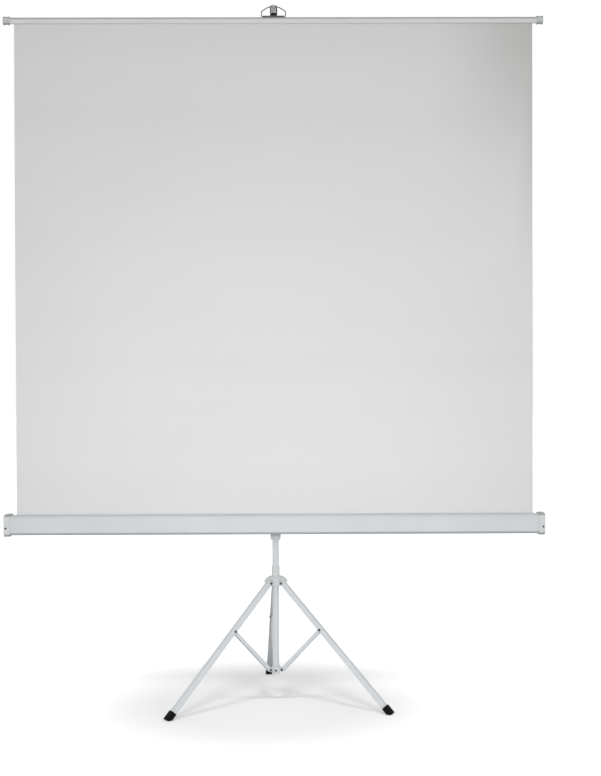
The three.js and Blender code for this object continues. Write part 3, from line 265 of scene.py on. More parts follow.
def rubber():
    """Matt black rubber with a moulded grain and rubbed, greyer patches."""
    nodes = Nodes("foot_rubber")
    patches = nodes.spread(nodes.noise(scale=60, detail=5), 0, 1)
    nodes.colour(nodes.mixed(patches, (0.003, 0.003, 0.003), (0.009, 0.009, 0.009)))
    nodes.roughness(nodes.noise(scale=140, detail=4), low=0.6, high=0.85)
    nodes.bump(nodes.noise(scale=1100), strength=0.25, distance=0.0003)
    nodes.fixed(Specular_IOR_Level=0.08)
    return nodes.material


def plated_steel(name, dark, light, rough, stretch, cloud=70, shaded_sides=()):
    """Plated steel with drawing marks along one way and cloudy plating, with painted shade on its sides
    beyond a half width.
    """
    nodes = Nodes(name)
    marks = nodes.noise(scale=500, stretch=stretch)
    tone = nodes.spread(nodes.noise(scale=cloud, detail=4), 0, 1)
    if shaded_sides:
        # Painted shade: the plating turns darker towards the sides, beyond a half width.
        edge = nodes.math("ABSOLUTE", nodes.along("X"), 0)
        tone = nodes.math("MULTIPLY", tone, nodes.spread(edge, 1, 0, *shaded_sides))
    nodes.colour(nodes.mixed(tone, dark, light))
    nodes.roughness(marks, low=rough - 0.07, high=rough + 0.08)
    nodes.bump(marks, strength=0.1, distance=0.0001)
    nodes.fixed(Metallic=1.0)
    return nodes.material


# Painted shade along the rims of the slat, the case and their caps, and painted light on the slat's
# underside, in bands by height: each band's two heights in metres, and its share of the base colour
SLAT_SHADING_BANDS = ((1.9855, 1.9905, 0.54), (1.984, 1.9775, 1.2))
CASE_SHADING_BANDS = ((0.5075, 0.5055, 0.68), (0.5475, 0.55, 0.95))
CASE_CAP_SHADING_BANDS = ((0.504, 0.5, 0.55), (0.551, 0.5545, 0.62))
SLAT_CAP_SHADING_BANDS = ((1.9785, 1.976, 0.78), (1.9895, 1.9935, 0.42))

MATT = {"rough": 0.5, "grain": 0.15}
DRAWN_ALONG_X = (0.1, 1, 1)

PAINT = painted_steel("white_paint", (0.668, 0.685, 0.7), (0.708, 0.725, 0.74))
SLAT_PAINT = painted_steel("slat_paint", (0.76, 0.762, 0.758), (0.8, 0.802, 0.798), SLAT_SHADING_BANDS)
CASE_PAINT = painted_steel("case_paint", (0.655, 0.675, 0.69), (0.695, 0.715, 0.727), CASE_SHADING_BANDS)
PLASTIC = moulded_plastic("white_plastic", (0.62, 0.635, 0.635), (0.67, 0.685, 0.685), **MATT)
CASE_CAP = moulded_plastic("case_cap_plastic", (0.66, 0.675, 0.675), (0.7, 0.715, 0.715), **MATT,
                           shading_bands=CASE_CAP_SHADING_BANDS)
SLAT_CAP = moulded_plastic("slat_cap_plastic", (0.62, 0.635, 0.635), (0.67, 0.685, 0.685), **MATT,
                           shading_bands=SLAT_CAP_SHADING_BANDS)
GLOSSY_BLACK = moulded_plastic("glossy_black", (0.004, 0.004, 0.004), (0.007, 0.007, 0.007),
                               rough=0.2, grain=0.03)
CLOTH = screen_cloth()
RUBBER = rubber()
ZINC = plated_steel("zinc", (0.42, 0.425, 0.43), (0.5, 0.505, 0.51), rough=0.36, stretch=(1, 1, 0.08))
# The hook's rounded sides carry painted shade: its plating turns dark beyond a half width.
HOOK_ZINC = plated_steel("hook_zinc", (0.03, 0.03, 0.03), (0.62, 0.62, 0.61), rough=0.5,
                         stretch=(1, 1, 0.3), cloud=260, shaded_sides=(0.0062, 0.0086))
SADDLE_ZINC = plated_steel("saddle_zinc", (0.09, 0.09, 0.09), (0.14, 0.14, 0.14), rough=0.45,
                           stretch=DRAWN_ALONG_X)
DARK_STEEL = plated_steel("dark_steel", (0.055, 0.057, 0.06), (0.09, 0.092, 0.095), rough=0.38,
                          stretch=DRAWN_ALONG_X)
BAIL_STEEL = plated_steel("bail_steel", (0.02, 0.02, 0.021), (0.035, 0.035, 0.036), rough=0.42,
                          stretch=DRAWN_ALONG_X)


# Outlines in a plane


def arc(middle, radius, start, stop, steps=ARC_STEPS):
    """Points round a middle, angles in degrees."""
    turns = [math.radians(start + (stop - start) * k / steps) for k in range(steps + 1)]
    return [(middle[0] + radius * math.cos(t), middle[1] + radius * math.sin(t)) for t in turns]


def rounded_rectangle(width, height, corner, middle=(0, 0), steps=ARC_STEPS):
    x, y = width / 2 - corner, height / 2 - corner
    corners = [((x, y), 0), ((-x, y), 90), ((-x, -y), 180), ((x, -y), 270)]
    points = []
    for (a, b), start in corners:
        points += arc((middle[0] + a, middle[1] + b), corner, start, start + 90, steps)
    return points


def channel(inner, outer, width, wall, corner):
    """A channel's section, open to -x, its web at x = outer."""
    half, middle = width / 2, outer - corner
    low, high = (middle, -half + corner), (middle, half - corner)
    outside = arc(low, corner, -90, 0) + arc(high, corner, 0, 90)
    inside = arc(high, corner - wall, 90, 0) + arc(low, corner - wall, 0, -90)
    lips = [(-inner, half), (-inner, half - wall)]
    return [(-inner, -half), *outside, *lips, *inside, (-inner, -half + wall)]


def bend(before, here, after, radius, share, steps):
    """Points round a corner, each end at most the side's length over a share from it."""
    back, on = before - here, after - here
    reach = min(radius, back.length / share, on.length / share)
    start, stop = here + back.normalized() * reach, here + on.normalized() * reach
    times = [k / steps for k in range(steps + 1)]
    return [start * (1 - t) ** 2 + here * 2 * t * (1 - t) + stop * t * t for t in times]


def softened(profile, radius):
    """A closed profile with its corners rounded, leaving flat ones and those on the axis as they are."""
    flat, share, steps = 0.2, 2.2, 3
    points = []
    for i, corner in enumerate(profile):
        here = Vector(corner)
        before, after = Vector(profile[i - 1]), Vector(profile[(i + 1) % len(profile)])
        sine = (before - here).normalized().cross((after - here).normalized())
        if here.x == 0 or abs(sine) < flat:
            points.append(corner)
        else:
            points += [(p.x, p.y) for p in bend(before, here, after, radius, share, steps)]
    return points


def rounded_path(corners, radius):
    """An open path in space with its corners rounded."""
    share, steps = 2.1, 6
    places = [Vector(corner) for corner in corners]
    path = places[:1]
    for before, here, after in zip(places, places[1:], places[2:]):
        path += bend(before, here, after, radius, share, steps)
    return path + places[-1:]


def band(bore, radius, low, high):
    """The profile of a tube, or of a bar where the bore is 0."""
    return [(bore, low), (radius, low), (radius, high), (bore, high)]


def dome(head, base, rise):
    """The profile of a domed head, from its edge to just short of its axis."""
    steps = 6
    turns = [math.pi / 2 * k / steps for k in range(steps)]
    return [(head * math.cos(t), base + rise * math.sin(t)) for t in turns]


# Solids as (points, faces), in millimetres


def prism(outline, low, high, plane="xy"):
    """An outline extruded from low to high across its plane."""
    order = {
        "xy": lambda a, b, c: (a, b, c),
        "xz": lambda a, b, c: (a, c, b),
        "yz": lambda a, b, c: (c, a, b),
    }[plane]
    count = len(outline)
    points = [order(a, b, c) for c in (low, high) for a, b in outline]
    sides = [[k, (k + 1) % count, count + (k + 1) % count, count + k] for k in range(count)]
    return points, [list(range(count))[::-1], list(range(count, 2 * count)), *sides]


def lathe(profile, axis="z", middle=(0, 0, 0), sides=TUBE_SIDES):
    """A profile of (radius, place) turned round an axis: closed on itself, or on the axis at both ends."""
    points, rings = [], []
    for radius, along in profile:
        ring = []
        for k in range(sides if radius > 0 else 1):
            turn = 2 * math.pi * k / sides
            a, b = radius * math.cos(turn), radius * math.sin(turn)
            offset = {"x": (along, a, b), "y": (b, along, a), "z": (a, b, along)}[axis]
            ring.append(len(points))
            points.append(tuple(m + o for m, o in zip(middle, offset)))
        rings.append(ring)
    nexts = rings[1:] if profile[0][0] == 0 else rings[1:] + rings[:1]
    faces = []
    for low, high in zip(rings, nexts):
        for k in range(sides):
            n = k + 1
            quad = [low[k % len(low)], low[n % len(low)], high[n % len(high)], high[k % len(high)]]
            face = list(dict.fromkeys(quad))
            if len(face) > 2:
                faces.append(face)
    return points, faces


def bar(radius, low, high, axis="z", middle=(0, 0, 0), sides=TUBE_SIDES):
    return lathe(band(0, radius, low, high), axis, middle, sides)


def sweep(path, radius):
    """A round wire along a path of points."""
    sides = WIRE_SIDES
    points, faces = [], []
    side = Vector((0, 0, 0))
    for i, here in enumerate(path):
        along = (path[min(i + 1, len(path) - 1)] - path[max(i - 1, 0)]).normalized()
        side = side - along * side.dot(along) if side.length else along.orthogonal()
        side.normalize()
        other = along.cross(side)
        for k in range(sides):
            turn = 2 * math.pi * k / sides
            points.append(tuple(here + radius * (side * math.cos(turn) + other * math.sin(turn))))
    for i in range(len(path) - 1):
        for k in range(sides):
            n = (k + 1) % sides
            faces.append([i * sides + k, i * sides + n, (i + 1) * sides + n, (i + 1) * sides + k])
    last = (len(path) - 1) * sides
    return points, [*faces, list(range(sides))[::-1], list(range(last, last + sides))]


# Objects


def build(name, shape, transform=None):
    """A Blender object from (points, faces), its faces turned outward."""
    points, faces = shape
    if transform is not None:
        points = [transform @ Vector(p) for p in points]
    mesh = bpy.data.meshes.new(name)
    mesh.from_pydata([place(p) for p in points], [], faces)
    mesh.validate()
    volume = sum(polygon.center.dot(polygon.normal) * polygon.area for polygon in mesh.polygons)
    if volume < 0:
        mesh.flip_normals()
    piece = bpy.data.objects.new(name, mesh)
    bpy.context.scene.collection.objects.link(piece)
    return piece


def combine(piece, tool, operation):
    """Joins a tool to a piece, or cuts it away, and deletes the tool."""
    modifier = piece.modifiers.new("combine", "BOOLEAN")
    modifier.object = tool
    modifier.operation = operation
    modifier.solver = "EXACT"
    graph = bpy.context.evaluated_depsgraph_get()
    mesh = bpy.data.meshes.new_from_object(piece.evaluated_get(graph))
    piece.modifiers.clear()
    piece.data = mesh
    bpy.data.objects.remove(tool)


def join(piece, *shapes, transform=None):
    for shape in shapes:
        combine(piece, build("tool", shape, transform), "UNION")


def cut(piece, *shapes, transform=None):
    for shape in shapes:
        combine(piece, build("tool", shape, transform), "DIFFERENCE")


def dress(piece, body, material, *nodes, edge=0):
    """Gives a piece its body, its finish, the nodes it stands for and its rounded edges in millimetres."""
    sharp_turn, segments = math.radians(38), 2
    piece.data.materials.clear()
    piece.data.materials.append(material)
    piece.data.shade_smooth()
    if edge:
        bevel = piece.modifiers.new("edges", "BEVEL")
        bevel.width = edge / METRE
        bevel.segments = segments
        bevel.limit_method = "ANGLE"
        bevel.angle_limit = sharp_turn
        bevel.miter_outer = "MITER_ARC"
    weighted = piece.modifiers.new("normals", "WEIGHTED_NORMAL")
    weighted.keep_sharp = True
    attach(piece, body)
    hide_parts(*nodes)


# Mast, pole and lock screws


def thumb_screw(name, tip, boss_end, z, body, node):
    """A lobed knob on a shank along +y, with a dished face."""
    lobes, lobe_steps, lobe_depth = 6, 16, 1.4
    dish_depth, dish_floor, dish_rim, dish_sides = 0.9, 4.5, 6.2, 48
    shank_short = 5
    steps = lobes * lobe_steps
    outline = []
    for k in range(steps):
        turn = 2 * math.pi * k / steps
        radius = LOCK_KNOB_RADIUS - lobe_depth / 2 * (1 - math.cos(lobes * turn))
        outline.append((radius * math.cos(turn), z + radius * math.sin(turn)))
    face = boss_end + GAP + LOCK_KNOB_LENGTH
    knob = build(name, prism(outline, boss_end + GAP, face, "xz"))
    join(knob, bar(LOCK_SHANK, tip, face - shank_short, "y", (0, 0, z), PIN_SIDES))
    floor, above = face - dish_depth, face + OVERRUN
    dish = [(0, floor), (dish_floor, floor), (dish_rim, above), (0, above)]
    cut(knob, lathe(dish, "y", (0, 0, z), dish_sides))
    dress(knob, body, GLOSSY_BLACK, node, edge=0.9)


def make_mast():
    """The mast tube, the bush on its top with the pole's lock screw, and the pole."""
    tube = softened(band(MAST_BORE, MAST_RADIUS, MAST_FOOT, MAST_TOP), radius=0.4)
    dress(build("mast", lathe(tube)), "mast", PAINT, "mast_tube")

    grip, lip, wall = 22, 8, 3
    outer, foot, top = GUIDE_RADIUS + wall, MAST_TOP - grip, MAST_TOP + GAP + lip
    lock_z, boss_end = MAST_TOP - grip / 2, outer + LOCK_BOSS_LENGTH
    profile = [(GUIDE_RADIUS, foot), (outer, foot), (outer, top - wall), (outer - wall, top),
               (MAST_BORE, top), (MAST_BORE, MAST_TOP + GAP), (GUIDE_RADIUS, MAST_TOP + GAP)]
    bush = build("mast_bush", lathe(softened(profile, radius=0.8)))
    boss = softened(band(LOCK_BORE, LOCK_BOSS, outer - wall / 2, boss_end), LOCK_BOSS_EDGE)
    join(bush, lathe(boss, "y", (0, 0, lock_z), BOSS_SIDES))
    dress(bush, "mast", PLASTIC, "mast_top_bush")
    thumb_screw("pole_lock", POLE_RADIUS + GAP, boss_end, lock_z, "pole_lock", "pole_lock_screw")

    tube = softened(band(POLE_BORE, POLE_RADIUS, POLE_FOOT, POLE_TOP), radius=0.3)
    dress(build("pole", lathe(tube)), "pole", PAINT, "pole_tube")


# Tripod


def lug_outline(reach, foot, top, pivot):
    """A lug's side, from the hub out to a round end about its pivot."""
    inner = GUIDE_RADIUS + GAP
    nose = arc((PIVOT_RADIUS, pivot), reach, -90, 90, steps=16)
    return [(inner, foot), (PIVOT_RADIUS, foot), *nose, (inner, top)]


def add_lugs(hub, width, outline, pivot):
    for azimuth in LEG_PLACES.values():
        turn = Matrix.Rotation(azimuth, 4, "Z")
        join(hub, prism(outline, -width / 2, width / 2, "xz"), transform=turn)
        hole = bar(PIN_HOLE, -width, width, "y", (PIVOT_RADIUS, 0, pivot), HOLE_SIDES)
        cut(hub, hole, transform=turn)


def crown_arm(foot):
    """The side of an arched arm over a leg's top, hollowed underneath for the leg's turning end."""
    offset, radius, start, stop, steps = 8, 31, 29, 85, 24
    clearance = 0.8
    arch = arc((offset, foot), radius, start, stop, steps)
    pivot = (PIVOT_RADIUS, CROWN_PIVOT_Z)
    under = arc(pivot, LEG_OUTER + clearance, 180, math.degrees(LEG_ANGLE), steps)
    down_leg = Vector((math.sin(LEG_ANGLE), -math.cos(LEG_ANGLE)))
    over_leg = Vector(under[-1])
    eave = over_leg + down_leg * (Vector(arch[0]) - over_leg).dot(down_leg)
    return [*arch, (arch[-1][0], CROWN_PIVOT_Z), *under, (eave.x, eave.y)]


def make_spider():
    """The hub on the mast's foot, with a rivet in front."""
    thick, top = 4, 106
    lug_width, lug_reach = 8, 4.4
    floor = MAST_FOOT - GAP
    foot = floor - thick
    cup = [(0, foot), (HUB_RADIUS, foot), (HUB_RADIUS, top), (GUIDE_RADIUS, top),
           (GUIDE_RADIUS, floor), (0, floor)]
    spider = build("spider", lathe(softened(cup, radius=1.2)))
    lug_foot, lug_top = SPIDER_PIVOT_Z - lug_reach, SPIDER_PIVOT_Z + 2 * lug_reach
    add_lugs(spider, lug_width, lug_outline(lug_reach, lug_foot, lug_top, SPIDER_PIVOT_Z), SPIDER_PIVOT_Z)
    dress(spider, "mast", PLASTIC, "spider_hub", edge=0.35)

    sunk, drop, length = 0.4, 3, 2
    seat = sunk - HUB_RADIUS
    profile = screw_profile(head=3.2, rise=1.3, shank=1.5, seat=seat, end=seat + length)
    pin = build("spider_pin", lathe(profile, "y", (0, 0, SPIDER_PIVOT_Z - drop), PIN_SIDES))
    dress(pin, "mast", DARK_STEEL)


def make_crown():
    """The hub that slides on the mast, with its collar and an arm over each leg."""
    foot, shoulder, top, radius, slope = 340, 366, 399, 16, 5
    lug_reach, lug_rise, lug_short = 5, 2, 6
    profile = [(GUIDE_RADIUS, foot), (radius, foot), (radius, shoulder - slope), (HUB_RADIUS, shoulder),
               (HUB_RADIUS, top), (GUIDE_RADIUS, top)]
    crown = build("crown", lathe(softened(profile, radius=1.0)))
    lug_width = LEG_WIDTH - 2 * LEG_WALL - 2 * GAP
    lug = lug_outline(lug_reach, foot + lug_rise, shoulder - lug_short, CROWN_PIVOT_Z)
    add_lugs(crown, lug_width, lug, CROWN_PIVOT_Z)
    arm = prism(crown_arm(foot), -LEG_WIDTH / 2, LEG_WIDTH / 2, "xz")
    for azimuth in LEG_PLACES.values():
        join(crown, arm, transform=Matrix.Rotation(azimuth, 4, "Z"))
    cut(crown, bar(GUIDE_RADIUS, foot - OVERRUN, top + OVERRUN))
    dress(crown, "crown", PLASTIC, "crown_hub", edge=0.5)


def rivet(name, span, transform, body, node):
    """A rivet along y: round domed heads on a shank."""
    head, rise, rim, shank = 3.9, 1.5, 0.4, 2.2
    seat = span / 2 + GAP
    crest = dome(head, seat + rim, rise - rim)
    half = [(shank, 0), (shank, seat), (head, seat), *crest, (0, seat + rise)]
    profile = [(r, -y) for r, y in reversed(half)] + half[1:]
    dress(build(name, lathe(profile, "y", sides=PIN_SIDES), transform), body, DARK_STEEL, node)


def screw_profile(head, rise, shank, seat, end):
    """A domed head towards -y on its seat, and its shank along +y to an end."""
    rim = 0.3
    crest = reversed(dome(head, seat - rim, rim - rise))
    return [(0, seat - rise), *crest, (head, seat), (shank, seat), (shank, end), (0, end)]


def make_leg(side, azimuth):
    """A channel leg hung on the crown, with its two rivets, its foot and its strut."""
    turn = Matrix.Rotation(azimuth, 4, "Z")
    pivot = Matrix.Translation((PIVOT_RADIUS, 0, CROWN_PIVOT_Z))
    hang = turn @ pivot @ Matrix.Rotation(-LEG_ANGLE, 4, "Y")
    section = channel(LEG_INNER, LEG_OUTER, LEG_WIDTH, LEG_WALL, LEG_CORNER)
    leg = build(f"leg_{side}_channel", prism(section, -LEG_END, LEG_DEPTH), hang)
    low, high = -LEG_INNER - TRIM_SIDE, LEG_OUTER + TRIM_SIDE
    outside = [(low, 0), (low, TRIM_END), (high, TRIM_END), (high, 0),
               *arc((LEG_MIDDLE, 0), LEG_DEPTH / 2, 0, 180, steps=24)]
    cut(leg, prism(outside, -LEG_WIDTH, LEG_WIDTH, "xz"), transform=hang)
    for z in (0, -SCISSOR):
        hole = bar(PIN_HOLE, -LEG_WIDTH, LEG_WIDTH, "y", (0, 0, z), HOLE_SIDES)
        cut(leg, hole, transform=hang)
    body = f"leg_{side}"
    dress(leg, body, PAINT, f"leg_{side}", edge=0.3)
    rivet(f"crown_rivet_{side}_head", LEG_WIDTH, hang, body, f"crown_rivet_{side}")
    brace = hang @ Matrix.Translation((0, 0, -SCISSOR))
    rivet(f"brace_rivet_{side}_head", LEG_WIDTH, brace, body, f"brace_rivet_{side}")
    make_foot(side, hang)
    make_strut(side, turn)


def make_foot(side, hang):
    """The rubber cap on a leg's end, level with the floor."""
    ground, ground_depth, ground_corner, ground_y = 1200, 60, 1, -100
    depth, width = LEG_DEPTH + 2 * (GAP + FOOT_WALL), LEG_WIDTH + 2 * (GAP + FOOT_WALL)
    middle = (LEG_MIDDLE, 0)
    end = -LEG_END - FOOT_SOLE
    outline = rounded_rectangle(depth, width, FOOT_CORNER, middle)
    foot = build(f"foot_{side}_cap", prism(outline, end, end + FOOT_LENGTH), hang)
    socket = rounded_rectangle(depth - 2 * FOOT_WALL, width - 2 * FOOT_WALL, GAP, middle, steps=2)
    cut(foot, prism(socket, -LEG_END - GAP, end + 2 * FOOT_LENGTH), transform=hang)
    below = rounded_rectangle(ground, ground, ground_corner, (0, ground_y), steps=1)
    cut(foot, prism(below, -ground_depth, 0))
    dress(foot, f"leg_{side}", RUBBER, f"foot_{side}", edge=1.1)


def make_strut(side, turn):
    """A channel strut on the spider, with round ends, open at its foot for the spider's lug."""
    mouth_top = 17
    pivot = Matrix.Translation((PIVOT_RADIUS, 0, SPIDER_PIVOT_Z))
    stand = turn @ pivot @ Matrix.Rotation(LEG_ANGLE, 4, "Y")
    section = channel(STRUT_HALF, STRUT_HALF, STRUT_WIDTH, STRUT_WALL, STRUT_CORNER)
    section = [(-x, y) for x, y in section]
    strut = build(f"strut_{side}_channel", prism(section, -STRUT_HALF, SCISSOR + STRUT_HALF), stand)
    beside = STRUT_HALF + TRIM_SIDE
    for z, beyond, stop in ((0, -TRIM_END, 360), (SCISSOR, SCISSOR + TRIM_END, 0)):
        outside = [(beside, z), (beside, beyond), (-beside, beyond), (-beside, z),
                   *arc((0, z), STRUT_HALF, 180, stop, steps=16)]
        cut(strut, prism(outside, -STRUT_WIDTH, STRUT_WIDTH, "xz"), transform=stand)
        hole = bar(PIN_HOLE, -STRUT_WIDTH, STRUT_WIDTH, "y", (0, 0, z), HOLE_SIDES)
        cut(strut, hole, transform=stand)
    fork, back = STRUT_WIDTH / 2 - STRUT_WALL, -2 * STRUT_HALF
    mouth = [(back, back), (0, back), (0, mouth_top), (back, mouth_top)]
    cut(strut, prism(mouth, -fork, fork, "xz"), transform=stand)
    body = f"strut_{side}"
    dress(strut, body, PAINT, f"strut_{side}", edge=0.25)
    rivet(f"spider_rivet_{side}_head", STRUT_WIDTH, stand, body, f"spider_rivet_{side}")


# Case, carriage and what they hold


def swivel_hole(depth=0):
    return bar(SWIVEL_BORE, -BORE_REACH, depth, "y", (0, 0, CASE_Z), PIN_SIDES)


def make_carriage():
    """The block that slides on the mast, with its skirt, its lock screw and the swivel's plate."""
    width, front, back, foot, top, corner = 32, -20.4, 14, 499, 556, 6
    skirt_foot, skirt_radius, skirt_shoulder, bell_radius, bell_top = 476, 14.6, 15.8, 12.6, 512
    lock_z, bolt_end = 536, -12.1
    outline = rounded_rectangle(width, back - front, corner, (0, (back + front) / 2))
    body = build("carriage_block", prism(outline, foot, top))
    inside = foot + OVERRUN
    skirt = [(0, skirt_foot), (skirt_radius, skirt_foot), (skirt_shoulder, foot), (skirt_shoulder, inside),
             (0, inside)]
    boss_end = back + LOCK_BOSS_LENGTH
    boss = softened(band(0, LOCK_BOSS, back - OVERRUN, boss_end), LOCK_BOSS_EDGE)
    join(body, lathe(softened(skirt, radius=0.8)), lathe(boss, "y", (0, 0, lock_z), BOSS_SIDES))
    below = skirt_foot - OVERRUN
    cut(body, bar(GUIDE_RADIUS, below, top + OVERRUN), bar(bell_radius, below, bell_top),
        bar(LOCK_BORE, 0, BORE_REACH, "y", (0, 0, lock_z), HOLE_SIDES), swivel_hole(bolt_end))
    dress(body, "carriage", PLASTIC, "carriage", edge=0.8)
    thumb_screw("carriage_lock", MAST_RADIUS + GAP, boss_end, lock_z, "carriage_lock",
                "carriage_lock_screw")

    plate_width, plate_height, plate_corner, plate_front, plate_back = 62, 40, 8, -23.7, -20.7
    outline = rounded_rectangle(plate_width, plate_height, plate_corner, (0, CASE_Z))
    plate = build("swivel_disc", prism(outline, plate_front, plate_back, "xz"))
    cut(plate, swivel_hole())
    dress(plate, "carriage", PAINT, "swivel_plate", edge=0.5)


def case_section(grow):
    """The case's outline in the yz plane, grown all round."""
    depth, height = CASE_DEPTH + 2 * grow, CASE_HEIGHT + 2 * grow
    return rounded_rectangle(depth, height, CASE_CORNER + grow, (CASE_Y, CASE_Z), CASE_STEPS)


def make_case():
    """The rolled shell with the fabric's slot along its top, and its two caps."""
    slot_top = 600
    end = CASE_LENGTH / 2 - END_CAP_PLATE - GAP
    past = end + OVERRUN
    shell = build("case_tube", prism(case_section(0), -end, end, "yz"))
    front, back = FABRIC_Y - CASE_SLOT / 2, FABRIC_Y + CASE_SLOT / 2
    slot = [(front, CASE_Z), (back, CASE_Z), (back, slot_top), (front, slot_top)]
    cut(shell, prism(case_section(-CASE_WALL), -past, past, "yz"), prism(slot, -past, past, "yz"))
    cut(shell, swivel_hole())
    dress(shell, "carriage", CASE_PAINT, "case_shell", edge=0.3)
    for side, sign in (("left", -1), ("right", 1)):
        make_end_cap(side, sign)


def make_end_cap(side, sign):
    """A moulded cup over the end of the case, with its screw in front."""
    boss_radius, boss_length = 9, 12
    screw_inset, hole_radius, hole_sides, hole_front, hole_depth = 7, 1.8, 20, 5, 8
    end = CASE_LENGTH / 2
    plate = end - END_CAP_PLATE
    outline = case_section(END_CAP_PROUD)
    cap = build(f"end_cap_{side}", prism(outline, sign * (end - END_CAP_LENGTH), sign * end, "yz"))
    bevel = cap.modifiers.new("round", "BEVEL")
    bevel.width = 0.003
    bevel.segments = 5
    bevel.angle_limit = math.radians(60)
    pocket = case_section(GAP)
    cut(cap, prism(pocket, sign * (end - 2 * END_CAP_LENGTH), sign * plate, "yz"))
    boss_end = end - END_CAP_PLATE / 2
    boss = band(GUDGEON_BORE, boss_radius, sign * (plate - boss_length), sign * boss_end)
    join(cap, lathe(boss, "x", (0, ROLL_Y, CASE_Z), PIN_SIDES))
    x, z = sign * (end - screw_inset), CASE_Z - screw_inset
    front = CASE_Y - CASE_DEPTH / 2 - END_CAP_PROUD
    cut(cap, bar(hole_radius, front - hole_front, front + hole_depth, "y", (x, 0, z), hole_sides))
    dress(cap, "carriage", CASE_CAP, f"case_cap_{side}", edge=0.3)

    seat, length = front - GAP, 7.5
    recess_long, recess_short, recess_depth, recess_front = 3.4, 0.7, 0.3, 3
    profile = screw_profile(head=2.9, rise=1.2, shank=1.5, seat=seat, end=front + length)
    screw = build(f"screw_{side}", lathe(profile, "y", (x, 0, z), PIN_SIDES))
    for wide, tall in ((recess_long, recess_short), (recess_short, recess_long)):
        corners = ((-1, -1), (1, -1), (1, 1), (-1, 1))
        recess = [(x + a * wide / 2, z + b * tall / 2) for a, b in corners]
        cut(screw, prism(recess, front - recess_front, seat - recess_depth, "xz"))
    dress(screw, "carriage", DARK_STEEL, f"cap_screw_{side}")


# Screen: fabric, its roll, slat and bail


def fabric_y(across, up, z):
    """The cloth's place in depth: a slow drift, and slack edges that ripple and curl forward."""
    free_foot, free_top, ease = 570, 1965, 160
    edge_power, curl = 6, 0.9
    ripple_rate, ripple_skew, ripple_height = 9.4, 1.7, 1.1
    drift_across, drift_up, drift_layer, drift_height = 1.9, 2.3, 4.0, 1.3
    held = min(1.0, max(0.0, (z - free_foot) / ease)) * min(1.0, max(0.0, (free_top - z) / ease))
    slack = abs(across) ** edge_power
    ripple = math.sin(up * ripple_rate + ripple_skew * across) * ripple_height * slack
    drift = noise.noise((across * drift_across, up * drift_up, drift_layer)) * drift_height
    return FABRIC_Y + held * (ripple + drift - curl * slack)


def make_fabric():
    """The stretched cloth, slightly slack along its free edges, running from the roll up into the slat."""
    columns, rows = 120, 116
    half = FABRIC_WIDTH / 2
    points, faces = [], []
    for layer in (-1, 1):
        for j in range(rows + 1):
            up = j / rows
            z = FABRIC_FOOT + (FABRIC_TOP - FABRIC_FOOT) * up
            for i in range(columns + 1):
                across = 2 * i / columns - 1
                y = fabric_y(across, up, z) + layer * FABRIC_THICK / 2
                points.append((across * half, y, z))
    width = columns + 1
    back = width * (rows + 1)
    for j in range(rows):
        for i in range(columns):
            a = j * width + i
            faces.append([a, a + 1, a + width + 1, a + width])
            faces.append([back + a, back + a + width, back + a + width + 1, back + a + 1])
    rim = list(range(columns))
    rim += [j * width + columns for j in range(rows)]
    rim += [rows * width + i for i in range(columns, 0, -1)]
    rim += [j * width for j in range(rows, 0, -1)]
    for a, b in zip(rim, rim[1:] + rim[:1]):
        faces.append([b, a, back + a, back + b])
    fabric = build("fabric", (points, faces))
    dress(fabric, "carriage", CLOTH, "screen_fabric")
    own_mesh(fabric)


def make_roll():
    """The rest of the cloth, wound on the roller as a spiral."""
    turns, steps = 1.9, 48
    inner = ROLLER_RADIUS + GAP
    pitch = (ROLL_RADIUS - inner - FABRIC_THICK) / turns
    spiral = []
    for k in range(int(turns * steps) + 1):
        turn = 2 * math.pi * k / steps
        spiral.append((turn, inner + pitch * k / steps))
    outside = [((r + FABRIC_THICK) * math.cos(t), (r + FABRIC_THICK) * math.sin(t)) for t, r in spiral]
    inside = [(r * math.cos(t), r * math.sin(t)) for t, r in reversed(spiral)]
    outline = [(ROLL_Y + a, CASE_Z + b) for a, b in outside + inside]
    roll = build("wound_fabric", prism(outline, -FABRIC_WIDTH / 2, FABRIC_WIDTH / 2, "yz"))
    dress(roll, "roller", CLOTH, "fabric_roll")


def make_slat():
    """The slotted tube that holds the fabric's upper edge, and its two bobbin-shaped caps."""
    middle = (FABRIC_Y, SLAT_Z)
    gape = math.degrees(math.asin(SLAT_SLOT / 2 / SLAT_RADIUS))
    start, stop = -90 + gape, 270 - gape
    outer = arc(middle, SLAT_RADIUS, start, stop, TUBE_SIDES)
    inner = arc(middle, SLAT_RADIUS - SLAT_WALL, stop, start, TUBE_SIDES)
    end = SLAT_LENGTH / 2 - CAP_END - GAP
    slat = build("slat", prism(outer + inner, -end, end, "yz"))
    dress(slat, "slat", SLAT_PAINT, "slat_tube", edge=0.25)

    tip, steps = SLAT_LENGTH / 2, 6
    inward, waist = tip - CAP_LENGTH, tip - CAP_LENGTH / 2
    hollow = []
    for k in range(steps + 1):
        swell = (CAP_RADIUS - CAP_WAIST) * (1 - math.cos(math.pi * k / steps)) / 2
        hollow.append((CAP_WAIST + swell, waist + (CAP_LENGTH / 2 - CAP_RIM) * k / steps))
    mirrored = [(r, 2 * waist - x) for r, x in reversed(hollow[1:])]
    profile = [(0, tip - CAP_END), (CAP_BORE, tip - CAP_END), (CAP_BORE, inward), (CAP_RADIUS, inward),
               *mirrored, *hollow, (CAP_RADIUS, tip), (0, tip)]
    shaped = softened(profile, radius=1.0)
    for side, sign in (("left", -1), ("right", 1)):
        cap = build(f"bobbin_{side}", lathe([(r, sign * x) for r, x in shaped], "x", (0, *middle)))
        dress(cap, "slat", SLAT_CAP, f"slat_cap_{side}")


